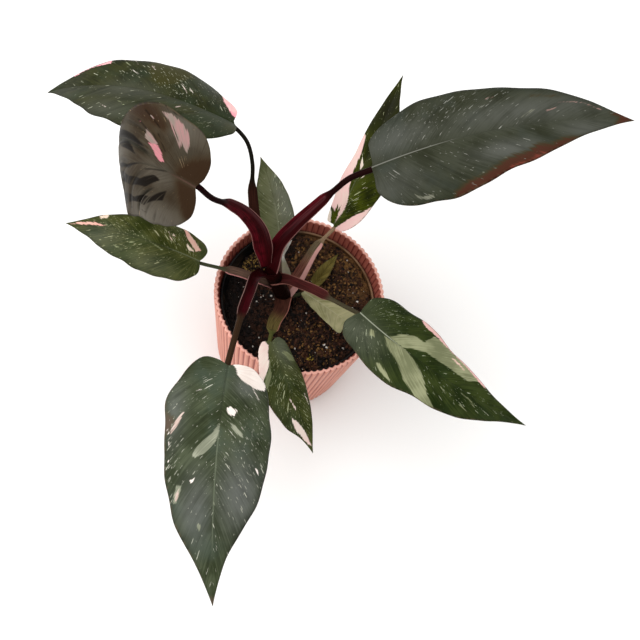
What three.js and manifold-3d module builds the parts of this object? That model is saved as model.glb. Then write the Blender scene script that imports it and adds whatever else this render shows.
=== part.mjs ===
// A young variegated climbing aroid in its nursery pot, dropped into a fluted cup pot.
// Millimetres, +Z up. The origin is the centre of the cup pot's underside.
import * as THREE from 'three';
import * as BufferGeometryUtils from 'three/addons/utils/BufferGeometryUtils.js';
import Module from 'manifold-3d';

const wasm = await Module();
wasm.setup();

// ---------------------------------------------------------------- driving dimensions
const CLEARANCE = 0.3; // gap kept between pieces that touch on the plant
const DEG = Math.PI / 180;

const CUP = { height: 110, rimRadius: 65, footRadius: 57, wall: 3, floor: 3, flutes: 84, fluteDepth: 0.8 };
const NURSERY = {
  rimHeight: 98.5, rimRadius: 59.6, rimBand: 6, rimStep: 2.2, wall: 1.2, footRadius: 50, floor: 1.4, drain: 6,
};
const SOIL = { level: 88, lump: 1.1, rings: 5, sides: 40 };
const STEM_SIDES = 12;
const BLADE = { thickness: 0.8, columns: 16, rows: 3, midribSteps: 40 };
const VEIN = { sweep: 0.16, fan: 0.1, bendAlong: 0.25, bendAcross: 0.6 };
const PETIOLE_STEPS = 11;
const SECTION_POINTS = 12;
const SHEATH_FLATNESS = 0.62; // depth of a sheath over its half width

const NURSERY_FOOT = CUP.floor + CLEARANCE;
const SOIL_FOOT = NURSERY_FOOT + NURSERY.floor + CLEARANCE;

// The stem climbs out of the soil with a slight lean; its thick roots spread below it.
const STEM = {
  route: [[-4, -1, 46], [-6, -1, 66], [-9, -2, 88], [-19, -5, 120], [-28, -8, 146]],
  radii: [4.5, 6.2, 6.4, 6.0, 5.2],
  root: { start: [-4, -1, 52], count: 5, reach: 38, drop: 34, radius: 1.7, tip: 0.9, sides: 6, steps: 5 },
};

// Each leaf: the blade's base point, its midrib's bearing and climb at the base (degrees), how far
// the midrib turns and droops by the tip, the fraction of its length by which the droop is done, the
// bank and twist of the blade about its midrib, the upward fold of its halves and how much each half
// curls down again by its margin. Half widths are in millimetres. Each half's outline has its belly
// (place of the greatest width), and its width at 60 and 82 percent as shares of the half width.
// The petiole's route runs from the stem to the blade; its sheath ends at the given share of it.
const LEAVES = {
  right: {
    base: [12, 43, 233], bearing: 36, climb: 30, turn: -10, droop: 31, settle: 1,
    bank: -1, twist: 12, fold: 5, curl: 28, length: 171, left: 37.5, right: 37, lobe: 0.01,
    outline: { left: [0.24, 0.73, 0.37], right: [0.24, 0.61, 0.24] }, wave: [0.9, 3.0, 0.4],
    route: [[-26, -8, 145], [-24, 4, 163], [-19, 12, 178], [-12, 21, 197], [-4, 29, 214], [2, 35, 224]],
    sheath: { end: 0.68, base: 4.6, tip: 3.9 }, thin: 2.0,
  },
  new: {
    base: [-75.5, -32, 251], bearing: 171, climb: -3, turn: -15, droop: 90, settle: 0.76,
    bank: -55, twist: -2, fold: 7, curl: 32, length: 127, left: 38.5, right: 36.5, lobe: 0.03,
    outline: { left: [0.29, 0.76, 0.32], right: [0.28, 0.74, 0.33] }, wave: [0.7, 2.5, 1.1],
    route: [[-29, -8, 145], [-40, -4, 180], [-50, -8, 202], [-58, -15, 218], [-67, -27, 238]],
    sheath: { end: 0.74, base: 4.2, tip: 2.7 }, thin: 1.8,
  },
  back_left: {
    base: [-84.5, 50, 205], bearing: 181, climb: 7, turn: 9, droop: 47, settle: 1,
    bank: 35, twist: -36, fold: 10, curl: 25, length: 149, left: 44, right: 42, lobe: 0.02,
    outline: { left: [0.37, 0.73, 0.28], right: [0.27, 0.76, 0.31] }, wave: [1.0, 3.0, 2.0],
    route: [[-29, -7, 143], [-40, -1, 162], [-49, 9, 177], [-57, 21, 187], [-63, 33, 196], [-72, 43, 202]],
    sheath: { end: 0.6, base: 3.6, tip: 2.6 }, thin: 1.4,
  },
  left: {
    base: [-75, -20, 132], bearing: 183, climb: 8, turn: 6, droop: 29, settle: 1,
    bank: 16, twist: -16, fold: 8, curl: 28, length: 104, left: 26, right: 24, lobe: 0.02,
    outline: { left: [0.29, 0.71, 0.3], right: [0.29, 0.74, 0.31] }, wave: [0.8, 3.0, 0.2],
    route: [[-18, -5, 116], [-34, -12, 127], [-45, -15, 131], [-58, -18, 132]],
    sheath: { end: 0.66, base: 3.9, tip: 3.4 }, thin: 1.3,
  },
  centre: {
    base: [-30, 21, 137], bearing: 127, climb: 45, turn: 14, droop: 22, settle: 1,
    bank: -2, twist: -2, fold: 7, curl: 29, length: 61, left: 16, right: 13.5, lobe: 0.04,
    outline: { left: [0.28, 0.74, 0.35], right: [0.28, 0.74, 0.32] }, wave: [0.5, 2.0, 0.0],
    route: [[-17, -4, 113], [-22, 4, 122], [-27, 13, 131]],
    sheath: { end: 0.6, base: 3.2, tip: 2.4 }, thin: 1.4,
  },
  back: {
    base: [3, 33, 165], bearing: 87, climb: 20, turn: 5, droop: 12, settle: 1,
    bank: -47, twist: 2, fold: 15, curl: 43, length: 127, left: 18, right: 27.5, lobe: 0.02,
    outline: { left: [0.28, 0.72, 0.37], right: [0.25, 0.69, 0.29] }, wave: [0.9, 3.0, 1.0],
    route: [[-12, -2, 100], [-7, 8, 112], [-5, 15, 126], [-3, 21, 142], [0, 26, 153]],
    sheath: { end: 0.72, base: 5.4, tip: 2.6 }, thin: 1.4,
  },
  front_right: {
    base: [45, -15, 152], bearing: -23, climb: 5, turn: 32, droop: 27, settle: 1,
    bank: -9, twist: -8, fold: 7, curl: 24, length: 148, left: 33, right: 29.5, lobe: 0.01,
    outline: { left: [0.27, 0.67, 0.25], right: [0.27, 0.78, 0.3] }, wave: [1.0, 3.0, 0.8],
    route: [[-21, -6, 126], [-12, -6, 134], [-2, -8, 140], [10, -10, 145], [21, -13, 149], [34, -15, 151]],
    sheath: { end: 0.64, base: 3.8, tip: 3.2 }, thin: 1.5,
  },
  small: {
    base: [-3, -55, 134], bearing: -42, climb: -11, turn: 2, droop: 28, settle: 1,
    bank: -32, twist: 15, fold: 6, curl: 31, length: 87, left: 18, right: 22, lobe: 0.02,
    outline: { left: [0.29, 0.72, 0.31], right: [0.33, 0.79, 0.28] }, wave: [0.6, 2.5, 0.5],
    route: [[-12, -3, 101], [-8, -20, 112], [-8, -36, 123], [-6, -48, 131]],
    sheath: { end: 0.8, base: 6.2, tip: 4.4 }, thin: 1.5,
  },
  front: {
    base: [-19, -101, 186], bearing: -75, climb: 10, turn: 13, droop: 32, settle: 1,
    bank: -10, twist: 10, fold: -1, curl: 31, length: 143, left: 35.5, right: 33.5, lobe: 0.02,
    outline: { left: [0.37, 0.75, 0.22], right: [0.19, 0.77, 0.31] }, wave: [1.0, 3.0, 2.6],
    route: [[-26, -8, 138], [-34, -25, 158], [-32, -43, 170], [-29, -59, 178], [-25, -76, 184]],
    sheath: { end: 0.66, base: 4.2, tip: 3.5 }, thin: 2.0,
  },
  trimmed: {
    base: [1, 8, 97], bearing: -22, climb: 24, turn: 0, droop: 6, settle: 1,
    bank: -10, twist: 0, fold: 10, curl: 14, length: 43, left: 9.5, right: 9.5, lobe: 0,
    outline: null, wave: [0, 1, 0],
    route: [[-11, -2, 93.5], [-4, 3, 95]],
    sheath: { end: 0.4, base: 2.4, tip: 1.8 }, thin: 1.4,
  },
  sprout: {
    base: [6, 20, 92], bearing: 75, climb: 24, turn: 0, droop: 8, settle: 1,
    bank: 0, twist: 0, fold: 30, curl: 12, length: 31, left: 6.5, right: 6.5, lobe: 0,
    outline: { left: [0.35, 0.75, 0.35], right: [0.35, 0.75, 0.35] }, wave: [0, 1, 0],
    route: [[3, 12, 70], [4, 15, 80], [5, 18, 88]],
    sheath: { end: 0.3, base: 1.6, tip: 1.4 }, thin: 1.2,
  },
};

// Upper petioles come out of the sheaths of the ones below, so each is cut clear of those above it.
const LEAF_ORDER = ['new', 'right', 'back_left', 'front', 'front_right', 'left', 'centre', 'back', 'small',
  'trimmed', 'sprout'];

// A papery bract that once wrapped the bud hangs beside the stem.
const BRACT = {
  route: [[-14, 2, 108], [-17, 6.5, 115], [-21, 9.5, 119], [-25, 14, 123], [-25, 20, 126], [-22, 28, 129]],
  halfWidth: [1.6, 2.4, 2.6, 2.2, 1.6, 0.8],
  thickness: 0.5,
};

// ---------------------------------------------------------------- finishes
const finish = (color, roughness) => new THREE.MeshStandardMaterial({ color, roughness, metalness: 0 });
const FINISH = {
  cup: finish(0xe2958a, 0.6),
  nursery: finish(0x24211f, 0.5),
  soil: finish(0x3a2a1e, 0.95),
  stem: finish(0x3a1a1c, 0.55),
  bract: finish(0xb5b3a6, 0.8),
  darkGreen: finish(0x2b3a30, 0.4),
  green: finish(0x3c5230, 0.45),
  bronze: finish(0x4a403a, 0.35),
  cream: finish(0xa9ae8c, 0.5),
  olive: finish(0x55603a, 0.5),
  maroon: finish(0x4a1420, 0.4),
  olivePetiole: finish(0x4a4334, 0.5),
};
const LEAF_FINISH = {
  right: ['darkGreen', 'maroon'],
  new: ['bronze', 'maroon'],
  back_left: ['green', 'maroon'],
  left: ['green', 'olivePetiole'],
  centre: ['darkGreen', 'olivePetiole'],
  back: ['green', 'olivePetiole'],
  front_right: ['green', 'maroon'],
  small: ['green', 'olivePetiole'],
  front: ['darkGreen', 'maroon'],
  trimmed: ['cream', 'olivePetiole'],
  sprout: ['olive', 'olivePetiole'],
};

// ---------------------------------------------------------------- mesh helpers
const vector = (p) => new THREE.Vector3(p[0], p[1], p[2]);

/** An indexed geometry from points and triangles, with nothing but positions. */
function solid(points, triangles) {
  const geometry = new THREE.BufferGeometry();
  geometry.setAttribute('position', new THREE.Float32BufferAttribute(points.flatMap((p) => p.toArray()), 3));
  geometry.setIndex(triangles.flat());
  return geometry;
}

/** The boolean library's solid of a closed geometry. */
function toManifold(geometry) {
  const bare = geometry.clone();
  bare.deleteAttribute('normal');
  bare.deleteAttribute('uv');
  const merged = BufferGeometryUtils.mergeVertices(bare, 1e-4);
  return new wasm.Manifold(new wasm.Mesh({
    numProp: 3,
    vertProperties: new Float32Array(merged.attributes.position.array),
    triVerts: new Uint32Array(merged.index.array),
  }));
}

/** The geometry of the largest body of a boolean result; loose scraps are dropped. */
function fromManifold(manifold) {
  const bodies = manifold.decompose();
  bodies.sort((a, b) => b.volume() - a.volume());
  const mesh = bodies[0].getMesh();
  const geometry = new THREE.BufferGeometry();
  geometry.setAttribute('position', new THREE.Float32BufferAttribute(mesh.vertProperties, 3));
  geometry.setIndex([...mesh.triVerts]);
  return geometry;
}

/** Joins rings of points, all of one count, into a closed tube with strip-filled ends. */
function loft(rings) {
  const count = rings[0].length;
  const triangles = [];
  for (let i = 0; i + 1 < rings.length; i += 1) {
    for (let j = 0; j < count; j += 1) {
      const k = (j + 1) % count;
      const a = i * count + j;
      const b = i * count + k;
      triangles.push([a, b, b + count], [a, b + count, a + count]);
    }
  }
  const last = (rings.length - 1) * count;
  const half = count / 2;
  for (let j = 0; j < half; j += 1) {
    const upper = [j, j + 1];
    const lower = [(count - j) % count, count - j - 1];
    const quads = [[upper[0], lower[1], upper[1]], [upper[0], lower[0], lower[1]]];
    for (const [a, b, c] of quads) {
      if (a !== b && b !== c && c !== a) {
        triangles.push([a, b, c], [last + a, last + c, last + b]);
      }
    }
  }
  return solid(rings.flat(), triangles);
}

/** Stations along a smooth route: point, tangent, sideways and upward directions. */
function stations(route, steps, facing) {
  const curve = new THREE.CatmullRomCurve3(route.map(vector), false, 'centripetal');
  const list = [];
  for (let i = 0; i <= steps; i += 1) {
    const share = i / steps;
    const point = curve.getPointAt(share);
    const tangent = curve.getTangentAt(share);
    const up = facing.clone().addScaledVector(tangent, -facing.dot(tangent)).normalize();
    const side = up.clone().cross(tangent).normalize();
    list.push({ share, point, tangent, up, side });
  }
  return list;
}

// ---------------------------------------------------------------- pots and soil
/** One fluted ring; the flutes run round both faces of the wall in step. */
function flutedRing(radius, z, depth) {
  const ring = [];
  const count = CUP.flutes * 2;
  for (let i = 0; i < count; i += 1) {
    const angle = (i / count) * Math.PI * 2;
    const r = radius + (i % 2 === 0 ? depth : -depth);
    ring.push(new THREE.Vector3(r * Math.cos(angle), r * Math.sin(angle), z));
  }
  return ring;
}

/** A body of revolution from rings that run from the bottom centre round to the inside centre. */
function ringedCup(rings, bottomZ, insideZ) {
  const count = rings[0].length;
  const points = rings.flat();
  const triangles = [];
  for (let i = 0; i + 1 < rings.length; i += 1) {
    for (let j = 0; j < count; j += 1) {
      const k = (j + 1) % count;
      const a = i * count + j;
      const b = i * count + k;
      triangles.push([a, b, b + count], [a, b + count, a + count]);
    }
  }
  const bottom = points.push(new THREE.Vector3(0, 0, bottomZ)) - 1;
  const inside = points.push(new THREE.Vector3(0, 0, insideZ)) - 1;
  const last = (rings.length - 1) * count;
  for (let j = 0; j < count; j += 1) {
    const k = (j + 1) % count;
    triangles.push([bottom, k, j], [inside, last + j, last + k]);
  }
  return solid(points, triangles);
}

function cupPot() {
  const { height, rimRadius, footRadius, wall, floor, fluteDepth } = CUP;
  const mid = fluteDepth / 2;
  const rings = [
    flutedRing(footRadius - 2.5, 0, 0),
    flutedRing(footRadius - mid, 1.5, mid),
    flutedRing(rimRadius - mid, height - 1, mid),
    flutedRing(rimRadius - wall / 2, height, mid),
    flutedRing(rimRadius - wall + mid, height - 1, mid),
    flutedRing(footRadius - wall - 1, floor, mid),
  ];
  return ringedCup(rings, 0, floor);
}

/** Thin-walled pot with a rolled rim band and one drain hole, as a closed lathe profile. */
function nurseryPot() {
  const { rimHeight, rimRadius, rimBand, rimStep, wall, footRadius, floor, drain } = NURSERY;
  const foot = NURSERY_FOOT;
  const under = rimHeight - rimBand;
  const profile = [
    [drain, foot], [footRadius, foot], [rimRadius - rimStep, under], [rimRadius, under],
    [rimRadius, rimHeight - 0.6], [rimRadius - 0.6, rimHeight], [rimRadius - wall - 0.4, rimHeight],
    [rimRadius - wall - rimStep, under - 2], [footRadius - wall, foot + floor], [drain, foot + floor],
    [drain, foot],
  ];
  const lathe = new THREE.LatheGeometry(profile.map(([r, z]) => new THREE.Vector2(r, z)), SOIL.sides);
  lathe.rotateX(Math.PI / 2);
  return lathe;
}

/** Inner wall radius of the nursery pot at a height. */
function nurseryBore(z) {
  const { rimHeight, rimRadius, rimBand, rimStep, wall, footRadius, floor } = NURSERY;
  const low = NURSERY_FOOT + floor;
  const high = rimHeight - rimBand - 2;
  const share = (z - low) / (high - low);
  return THREE.MathUtils.lerp(footRadius - wall, rimRadius - wall - rimStep, share);
}

/** Height of the crumbly soil surface at a place. */
function soilHeight(x, y) {
  const lumps = Math.sin(x * 0.31 + 1.3) * Math.cos(y * 0.27 - 0.4) + 0.6 * Math.sin(x * 0.13 - y * 0.19);
  return SOIL.level + SOIL.lump * lumps;
}

function soilPlug() {
  const edge = nurseryBore(SOIL.level) - CLEARANCE - 0.2;
  const rings = [];
  const ringAt = (radius, height) => {
    const ring = [];
    for (let i = 0; i < SOIL.sides; i += 1) {
      const angle = (i / SOIL.sides) * Math.PI * 2;
      const x = radius * Math.cos(angle);
      const y = radius * Math.sin(angle);
      ring.push(new THREE.Vector3(x, y, height ?? soilHeight(x, y)));
    }
    return ring;
  };
  rings.push(ringAt(nurseryBore(SOIL_FOOT) - CLEARANCE - 0.2, SOIL_FOOT));
  rings.push(ringAt(edge, SOIL.level - 2));
  for (let i = 0; i < SOIL.rings; i += 1) {
    rings.push(ringAt(edge * 0.985 * (1 - i / SOIL.rings), undefined));
  }
  return ringedCup(rings, SOIL_FOOT, soilHeight(0, 0));
}

// ---------------------------------------------------------------- stem, roots and bract
/** Round tube along a route, its radius running through the listed values. */
function roundTube(route, radii, sides, steps, grow) {
  const rings = stations(route, steps, new THREE.Vector3(0.3, 1, 0.2)).map((s) => {
    const place = s.share * (radii.length - 1);
    const low = Math.min(Math.floor(place), radii.length - 2);
    const radius = THREE.MathUtils.lerp(radii[low], radii[low + 1], place - low) + grow;
    const ends = s.share === 0 ? -grow : s.share === 1 ? grow : 0;
    const centre = s.point.clone().addScaledVector(s.tangent, ends);
    const ring = [];
    for (let i = 0; i < sides; i += 1) {
      const angle = (i / sides) * Math.PI * 2;
      ring.push(centre.clone()
        .addScaledVector(s.side, radius * Math.cos(angle))
        .addScaledVector(s.up, radius * Math.sin(angle)));
    }
    return ring;
  });
  return loft(rings);
}

/** The stem with its roots fused on, or its clearance when grown. */
function stemSolid(grow = 0) {
  const { root } = STEM;
  let body = toManifold(roundTube(STEM.route, STEM.radii, STEM_SIDES, 12, grow));
  for (let i = 0; i < root.count; i += 1) {
    const angle = (i / root.count) * Math.PI * 2 + 0.5;
    const start = vector(root.start).add(new THREE.Vector3(0, 0, -i));
    const out = new THREE.Vector3(Math.cos(angle), Math.sin(angle), 0);
    const knee = start.clone().addScaledVector(out, root.reach * 0.5).add(new THREE.Vector3(0, 0, -6));
    const tip = start.clone().addScaledVector(out, root.reach).add(new THREE.Vector3(0, 0, -root.drop));
    const route = [start, knee, tip].map((p) => p.toArray());
    const tube = roundTube(route, [root.radius, root.tip], root.sides, root.steps, grow);
    body = body.add(toManifold(tube));
  }
  return body;
}

function bractSolid() {
  const rings = stations(BRACT.route, 8, new THREE.Vector3(1, 0.2, 0.3)).map((s) => {
    const place = s.share * (BRACT.halfWidth.length - 1);
    const low = Math.min(Math.floor(place), BRACT.halfWidth.length - 2);
    const half = THREE.MathUtils.lerp(BRACT.halfWidth[low], BRACT.halfWidth[low + 1], place - low);
    const ring = [];
    for (let i = 0; i < SECTION_POINTS; i += 1) {
      const angle = (i / SECTION_POINTS) * Math.PI * 2;
      const cup = 0.5 * half * Math.cos(angle) ** 2;
      ring.push(s.point.clone()
        .addScaledVector(s.side, half * Math.cos(angle))
        .addScaledVector(s.up, BRACT.thickness * Math.sin(angle) + cup));
    }
    return ring;
  });
  return loft(rings);
}

// ---------------------------------------------------------------- leaf blades
/** A curved leaf blade: its midrib and frames in the blade's own space, base at the origin. */
class Blade {
  constructor(leaf) {
    this.leaf = leaf;
    this.points = [new THREE.Vector3()];
    this.frames = [];
    const steps = BLADE.midribSteps;
    for (let i = 0; i < steps; i += 1) {
      const tangent = this.direction((i + 0.5) / steps);
      this.points.push(this.points[i].clone().addScaledVector(tangent, leaf.length / steps));
    }
    for (let i = 0; i <= steps; i += 1) {
      this.frames.push(this.frame(i / steps));
    }
  }

  /** Bearing and climb of the midrib at a share of its length. */
  angles(share) {
    const { climb, turn, droop, settle } = this.leaf;
    const done = Math.min(share / settle, 1);
    const ease = 0.5 * done + 0.5 * done * done * (3 - 2 * done);
    return [turn * share * DEG, (climb - droop * ease) * DEG];
  }

  direction(share) {
    const [bearing, climb] = this.angles(share);
    return new THREE.Vector3(
      Math.cos(climb) * Math.cos(bearing), Math.cos(climb) * Math.sin(bearing), Math.sin(climb));
  }

  frame(share) {
    const tangent = this.direction(share);
    const [bearing] = this.angles(share);
    const level = new THREE.Vector3(-Math.sin(bearing), Math.cos(bearing), 0);
    const roll = (this.leaf.bank + this.leaf.twist * share) * DEG;
    const side = level.applyAxisAngle(tangent, roll);
    return { tangent, side, up: tangent.clone().cross(side) };
  }

  /** The point at a share of the length along the midrib and a signed distance across, left positive. */
  point(along, across) {
    const { leaf } = this;
    const share = THREE.MathUtils.clamp(along, 0, 1);
    const place = share * BLADE.midribSteps;
    const low = Math.min(Math.floor(place), BLADE.midribSteps - 1);
    const mix = place - low;
    const blend = (a, b) => a.clone().lerp(b, mix);
    const side = blend(this.frames[low].side, this.frames[low + 1].side).normalize();
    const up = blend(this.frames[low].up, this.frames[low + 1].up).normalize();
    const tangent = blend(this.frames[low].tangent, this.frames[low + 1].tangent).normalize();
    const reach = Math.abs(across);
    const half = across >= 0 ? leaf.left : leaf.right;
    const fold = leaf.fold * DEG;
    const rate = (leaf.curl * DEG) / half;
    const out = (Math.sin(fold) - Math.sin(fold - rate * reach)) / rate;
    const [swell, count, phase] = leaf.wave;
    const turn = count * Math.PI * 2 * along + phase + Math.sign(across);
    const ripple = swell * (reach / half) ** 2 * Math.sin(turn);
    const rise = (Math.cos(fold - rate * reach) - Math.cos(fold)) / rate + ripple;
    return blend(this.points[low], this.points[low + 1])
      .addScaledVector(tangent, (along - share) * leaf.length)
      .addScaledVector(side, Math.sign(across) * out)
      .addScaledVector(up, rise);
  }

  /** One half's outline from base to tip, as shares of the length and of the half width. */
  outline(hand) {
    const { lobe, outline } = this.leaf;
    if (outline === null) {
      return curve2([[0, 0], [0.02, 0.3], [0.18, 0.62], [0.45, 0.88], [0.75, 1], [0.98, 0.98],
        [1, 0.5], [1, 0]]);
    }
    const [belly, middle, late] = outline[hand];
    return curve2([[0, 0], [-lobe, 0.22], [-0.75 * lobe, 0.55], [0.08, 0.88], [belly, 1],
      [0.6, middle], [0.82, late], [0.94, 0.28 * late], [1, 0]]);
  }

  /** The blade's solid; each side vein is a curved line from the midrib to the margin. */
  geometry(grow = 0) {
    const { leaf } = this;
    const { columns, rows, thickness } = BLADE;
    const points = [this.point(0, 0)];
    const index = new Map();
    for (const [hand, sign] of [['left', 1], ['right', -1]]) {
      const outline = this.outline(hand);
      for (let i = 1; i < columns; i += 1) {
        const edge = outline.getPoint(i / columns);
        const foot = veinFoot(i / columns, edge.x);
        for (let j = 0; j <= rows; j += 1) {
          if (j === 0 && sign < 0) {
            index.set(`${sign},${i},0`, index.get(`1,${i},0`));
            continue;
          }
          const [along, across] = veinPoint(foot, edge, j / rows);
          const place = this.point(along, sign * across * (leaf[hand] + grow));
          index.set(`${sign},${i},${j}`, points.push(place) - 1);
        }
      }
    }
    const tip = points.push(this.point(1, 0)) - 1;
    const at = (sign, i, j) => (i === 0 ? 0 : i === columns ? tip : index.get(`${sign},${i},${j}`));
    const faces = [];
    for (const sign of [1, -1]) {
      for (let i = 0; i < columns; i += 1) {
        for (let j = 0; j < rows; j += 1) {
          const quad = [at(sign, i, j), at(sign, i + 1, j), at(sign, i + 1, j + 1), at(sign, i, j + 1)];
          for (const [a, b, c] of [[quad[0], quad[1], quad[2]], [quad[0], quad[2], quad[3]]]) {
            if (a !== b && b !== c && c !== a) {
              faces.push(sign > 0 ? [a, b, c] : [a, c, b]);
            }
          }
        }
      }
    }
    const rim = [0];
    for (let i = 1; i < columns; i += 1) {
      rim.push(at(-1, i, rows));
    }
    rim.push(tip);
    for (let i = columns - 1; i > 0; i -= 1) {
      rim.push(at(1, i, rows));
    }
    return thicken(points, faces, rim, thickness / 2 + grow);
  }
}

/** Smooth plane curve through listed points. */
function curve2(list) {
  return new THREE.CatmullRomCurve3(list.map(([x, y]) => new THREE.Vector3(x, y, 0)), false, 'centripetal');
}

/** Where on the midrib the side vein starts that meets the margin at the given place. */
function veinFoot(t, edgeX) {
  const sweep = VEIN.sweep * Math.sin(Math.PI * THREE.MathUtils.clamp(edgeX, 0, 1));
  return Math.max(VEIN.fan * t, edgeX - sweep);
}

/** A side vein's point: it leaves the midrib steeply and sweeps forward towards the margin. */
function veinPoint(foot, edge, share) {
  const near = (1 - share) ** 2;
  const middle = 2 * share * (1 - share);
  const far = share * share;
  const bendX = THREE.MathUtils.lerp(foot, edge.x, VEIN.bendAlong);
  return [near * foot + middle * bendX + far * edge.x, (middle * VEIN.bendAcross + far) * edge.y];
}

/** Turns an open sheet into a closed plate with both faces split alike. */
function thicken(points, faces, rim, half) {
  const sheet = solid(points, faces);
  sheet.computeVertexNormals();
  const normal = sheet.attributes.normal;
  const count = points.length;
  const both = [];
  for (const offset of [half, -half]) {
    for (let i = 0; i < count; i += 1) {
      const outward = new THREE.Vector3().fromBufferAttribute(normal, i);
      both.push(points[i].clone().addScaledVector(outward, offset));
    }
  }
  const triangles = [];
  for (const [a, b, c] of faces) {
    triangles.push([a, b, c], [a + count, c + count, b + count]);
  }
  for (let i = 0; i < rim.length; i += 1) {
    const a = rim[i];
    const b = rim[(i + 1) % rim.length];
    triangles.push([b, a, a + count], [b, a + count, b + count]);
  }
  return solid(both, triangles);
}

// ---------------------------------------------------------------- petioles
/** Section of a petiole: round, or a channel whose two wings stand up along its upper face. */
function petioleRing(s, halfWidth, depth, channel, filled) {
  const ring = [];
  for (let i = 0; i < SECTION_POINTS; i += 1) {
    const angle = (i / SECTION_POINTS) * Math.PI * 2;
    const across = halfWidth * Math.cos(angle);
    const wing = 0.3 * depth * channel * Math.cos(angle) ** 2;
    const lift = Math.sin(angle) > 0 && !filled ? 1 - 1.42 * channel : 1;
    ring.push(s.point.clone()
      .addScaledVector(s.side, across)
      .addScaledVector(s.up, depth * Math.sin(angle) * lift + wing));
  }
  return ring;
}

/** The petiole of a leaf, or its clearance when grown, ending just under the blade's midrib. */
function petioleGeometry(leaf, blade, place, grow = 0) {
  const seat = (share, drop) => blade.point(share, 0)
    .addScaledVector(blade.frames[0].up, -drop)
    .applyMatrix4(place)
    .toArray();
  const drop = BLADE.thickness / 2 + CLEARANCE + leaf.thin;
  const route = [...leaf.route, seat(0, drop), seat(5 / leaf.length, drop - 0.2)];
  const outward = vector(leaf.base).sub(vector(leaf.route[0])).setZ(0).normalize();
  const facing = new THREE.Vector3(0, 0, 1).addScaledVector(outward, -0.8).normalize();
  const { end, base, tip } = leaf.sheath;
  const rings = stations(route, PETIOLE_STEPS, facing).map((s) => {
    const inSheath = 1 - THREE.MathUtils.smoothstep(s.share, end - 0.08, end + 0.02);
    const sheathWidth = THREE.MathUtils.lerp(base, tip, Math.min(s.share / end, 1));
    const taper = s.share === 1 ? 0.7 : 1;
    const halfWidth = THREE.MathUtils.lerp(leaf.thin * taper, sheathWidth, inSheath) + grow;
    const sheathDepth = Math.max(SHEATH_FLATNESS * sheathWidth, leaf.thin);
    const depth = THREE.MathUtils.lerp(leaf.thin * taper, sheathDepth, inSheath) + grow;
    return petioleRing(s, halfWidth, depth, inSheath, grow > 0);
  });
  return loft(rings);
}

// ---------------------------------------------------------------- assembly
const plant = new THREE.Group();

function addPiece(parent, name, geometry, material) {
  const mesh = new THREE.Mesh(geometry, material);
  mesh.name = name;
  parent.add(mesh);
  return mesh;
}

addPiece(plant, 'cup_pot', cupPot(), FINISH.cup);
addPiece(plant, 'nursery_pot', nurseryPot(), FINISH.nursery);
addPiece(plant, 'stem', fromManifold(stemSolid()), FINISH.stem);

const stemClearance = stemSolid(CLEARANCE);
let taken = stemClearance;
let soil = toManifold(soilPlug()).subtract(stemClearance);

for (const name of LEAF_ORDER) {
  const leaf = LEAVES[name];
  const blade = new Blade(leaf);
  const [bladeFinish, petioleFinish] = LEAF_FINISH[name];
  const bladeMesh = addPiece(plant, `blade_${name}`, blade.geometry(), FINISH[bladeFinish]);
  bladeMesh.position.set(...leaf.base);
  bladeMesh.rotation.z = leaf.bearing * DEG;
  bladeMesh.updateMatrix();

  const bladeClearance = toManifold(blade.geometry(CLEARANCE).applyMatrix4(bladeMesh.matrix));
  const petiole = toManifold(petioleGeometry(leaf, blade, bladeMesh.matrix));
  const clear = petiole.subtract(taken).subtract(bladeClearance);
  addPiece(plant, `petiole_${name}`, fromManifold(clear), FINISH[petioleFinish]);
  taken = taken.add(toManifold(petioleGeometry(leaf, blade, bladeMesh.matrix, CLEARANCE)));
}

const bract = toManifold(bractSolid()).subtract(taken);
addPiece(plant, 'bract', fromManifold(bract), FINISH.bract);
soil = soil.subtract(taken);
addPiece(plant, 'soil', fromManifold(soil), FINISH.soil);

export default plant;
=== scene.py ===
"""A young pink-splashed philodendron in its nursery pot, dropped into a fluted coral cup pot.

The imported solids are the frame. Finer leaves, petioles, pots and soil stand for them here. Sizes are in
millimetres and degrees, as in the solids, and become metres when a mesh is written.
"""

import logging
import math
from collections.abc import Callable, Iterator, Sequence
from contextlib import contextmanager
from dataclasses import dataclass
from enum import Enum

import bpy
import numpy as np
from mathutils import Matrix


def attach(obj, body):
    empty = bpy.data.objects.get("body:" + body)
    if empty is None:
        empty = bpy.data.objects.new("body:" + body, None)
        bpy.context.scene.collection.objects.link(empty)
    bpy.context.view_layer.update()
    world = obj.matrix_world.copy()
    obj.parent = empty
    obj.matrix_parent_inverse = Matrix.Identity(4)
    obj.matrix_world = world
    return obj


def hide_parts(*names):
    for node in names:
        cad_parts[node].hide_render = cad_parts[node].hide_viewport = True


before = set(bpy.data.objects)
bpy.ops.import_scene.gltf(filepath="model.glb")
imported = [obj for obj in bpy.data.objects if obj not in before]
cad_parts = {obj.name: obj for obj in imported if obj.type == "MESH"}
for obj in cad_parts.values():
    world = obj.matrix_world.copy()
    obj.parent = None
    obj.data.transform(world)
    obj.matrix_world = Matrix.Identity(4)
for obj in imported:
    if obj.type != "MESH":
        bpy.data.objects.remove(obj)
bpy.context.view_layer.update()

MM = 0.001
TURN = 2 * math.pi
SEED = 11
WELD = 0.0005  # millimetres within which vertices become one
POT_CREASE = 40  # degrees past which an edge of the nursery pot stays sharp
# Painted shadow darkens the soil and its loose bits towards one side.
SHADOW_WAY = (-0.93, -0.37)  # the side where the soil stays darkest
SHADOW_SPAN = (14, 46)  # millimetres from the middle over which it darkens
log = logging.getLogger("philodendron")

Array = np.ndarray
Point = tuple[float, float, float]
Colour = tuple[float, float, float]
Spot = tuple[float, float]
Outline = tuple[Spot, ...]
Place = Callable[[Array, Array], Array]
Piece = bpy.types.Object
Material = bpy.types.Material
Socket = bpy.types.NodeSocket
Input = Socket | float | Colour


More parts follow.
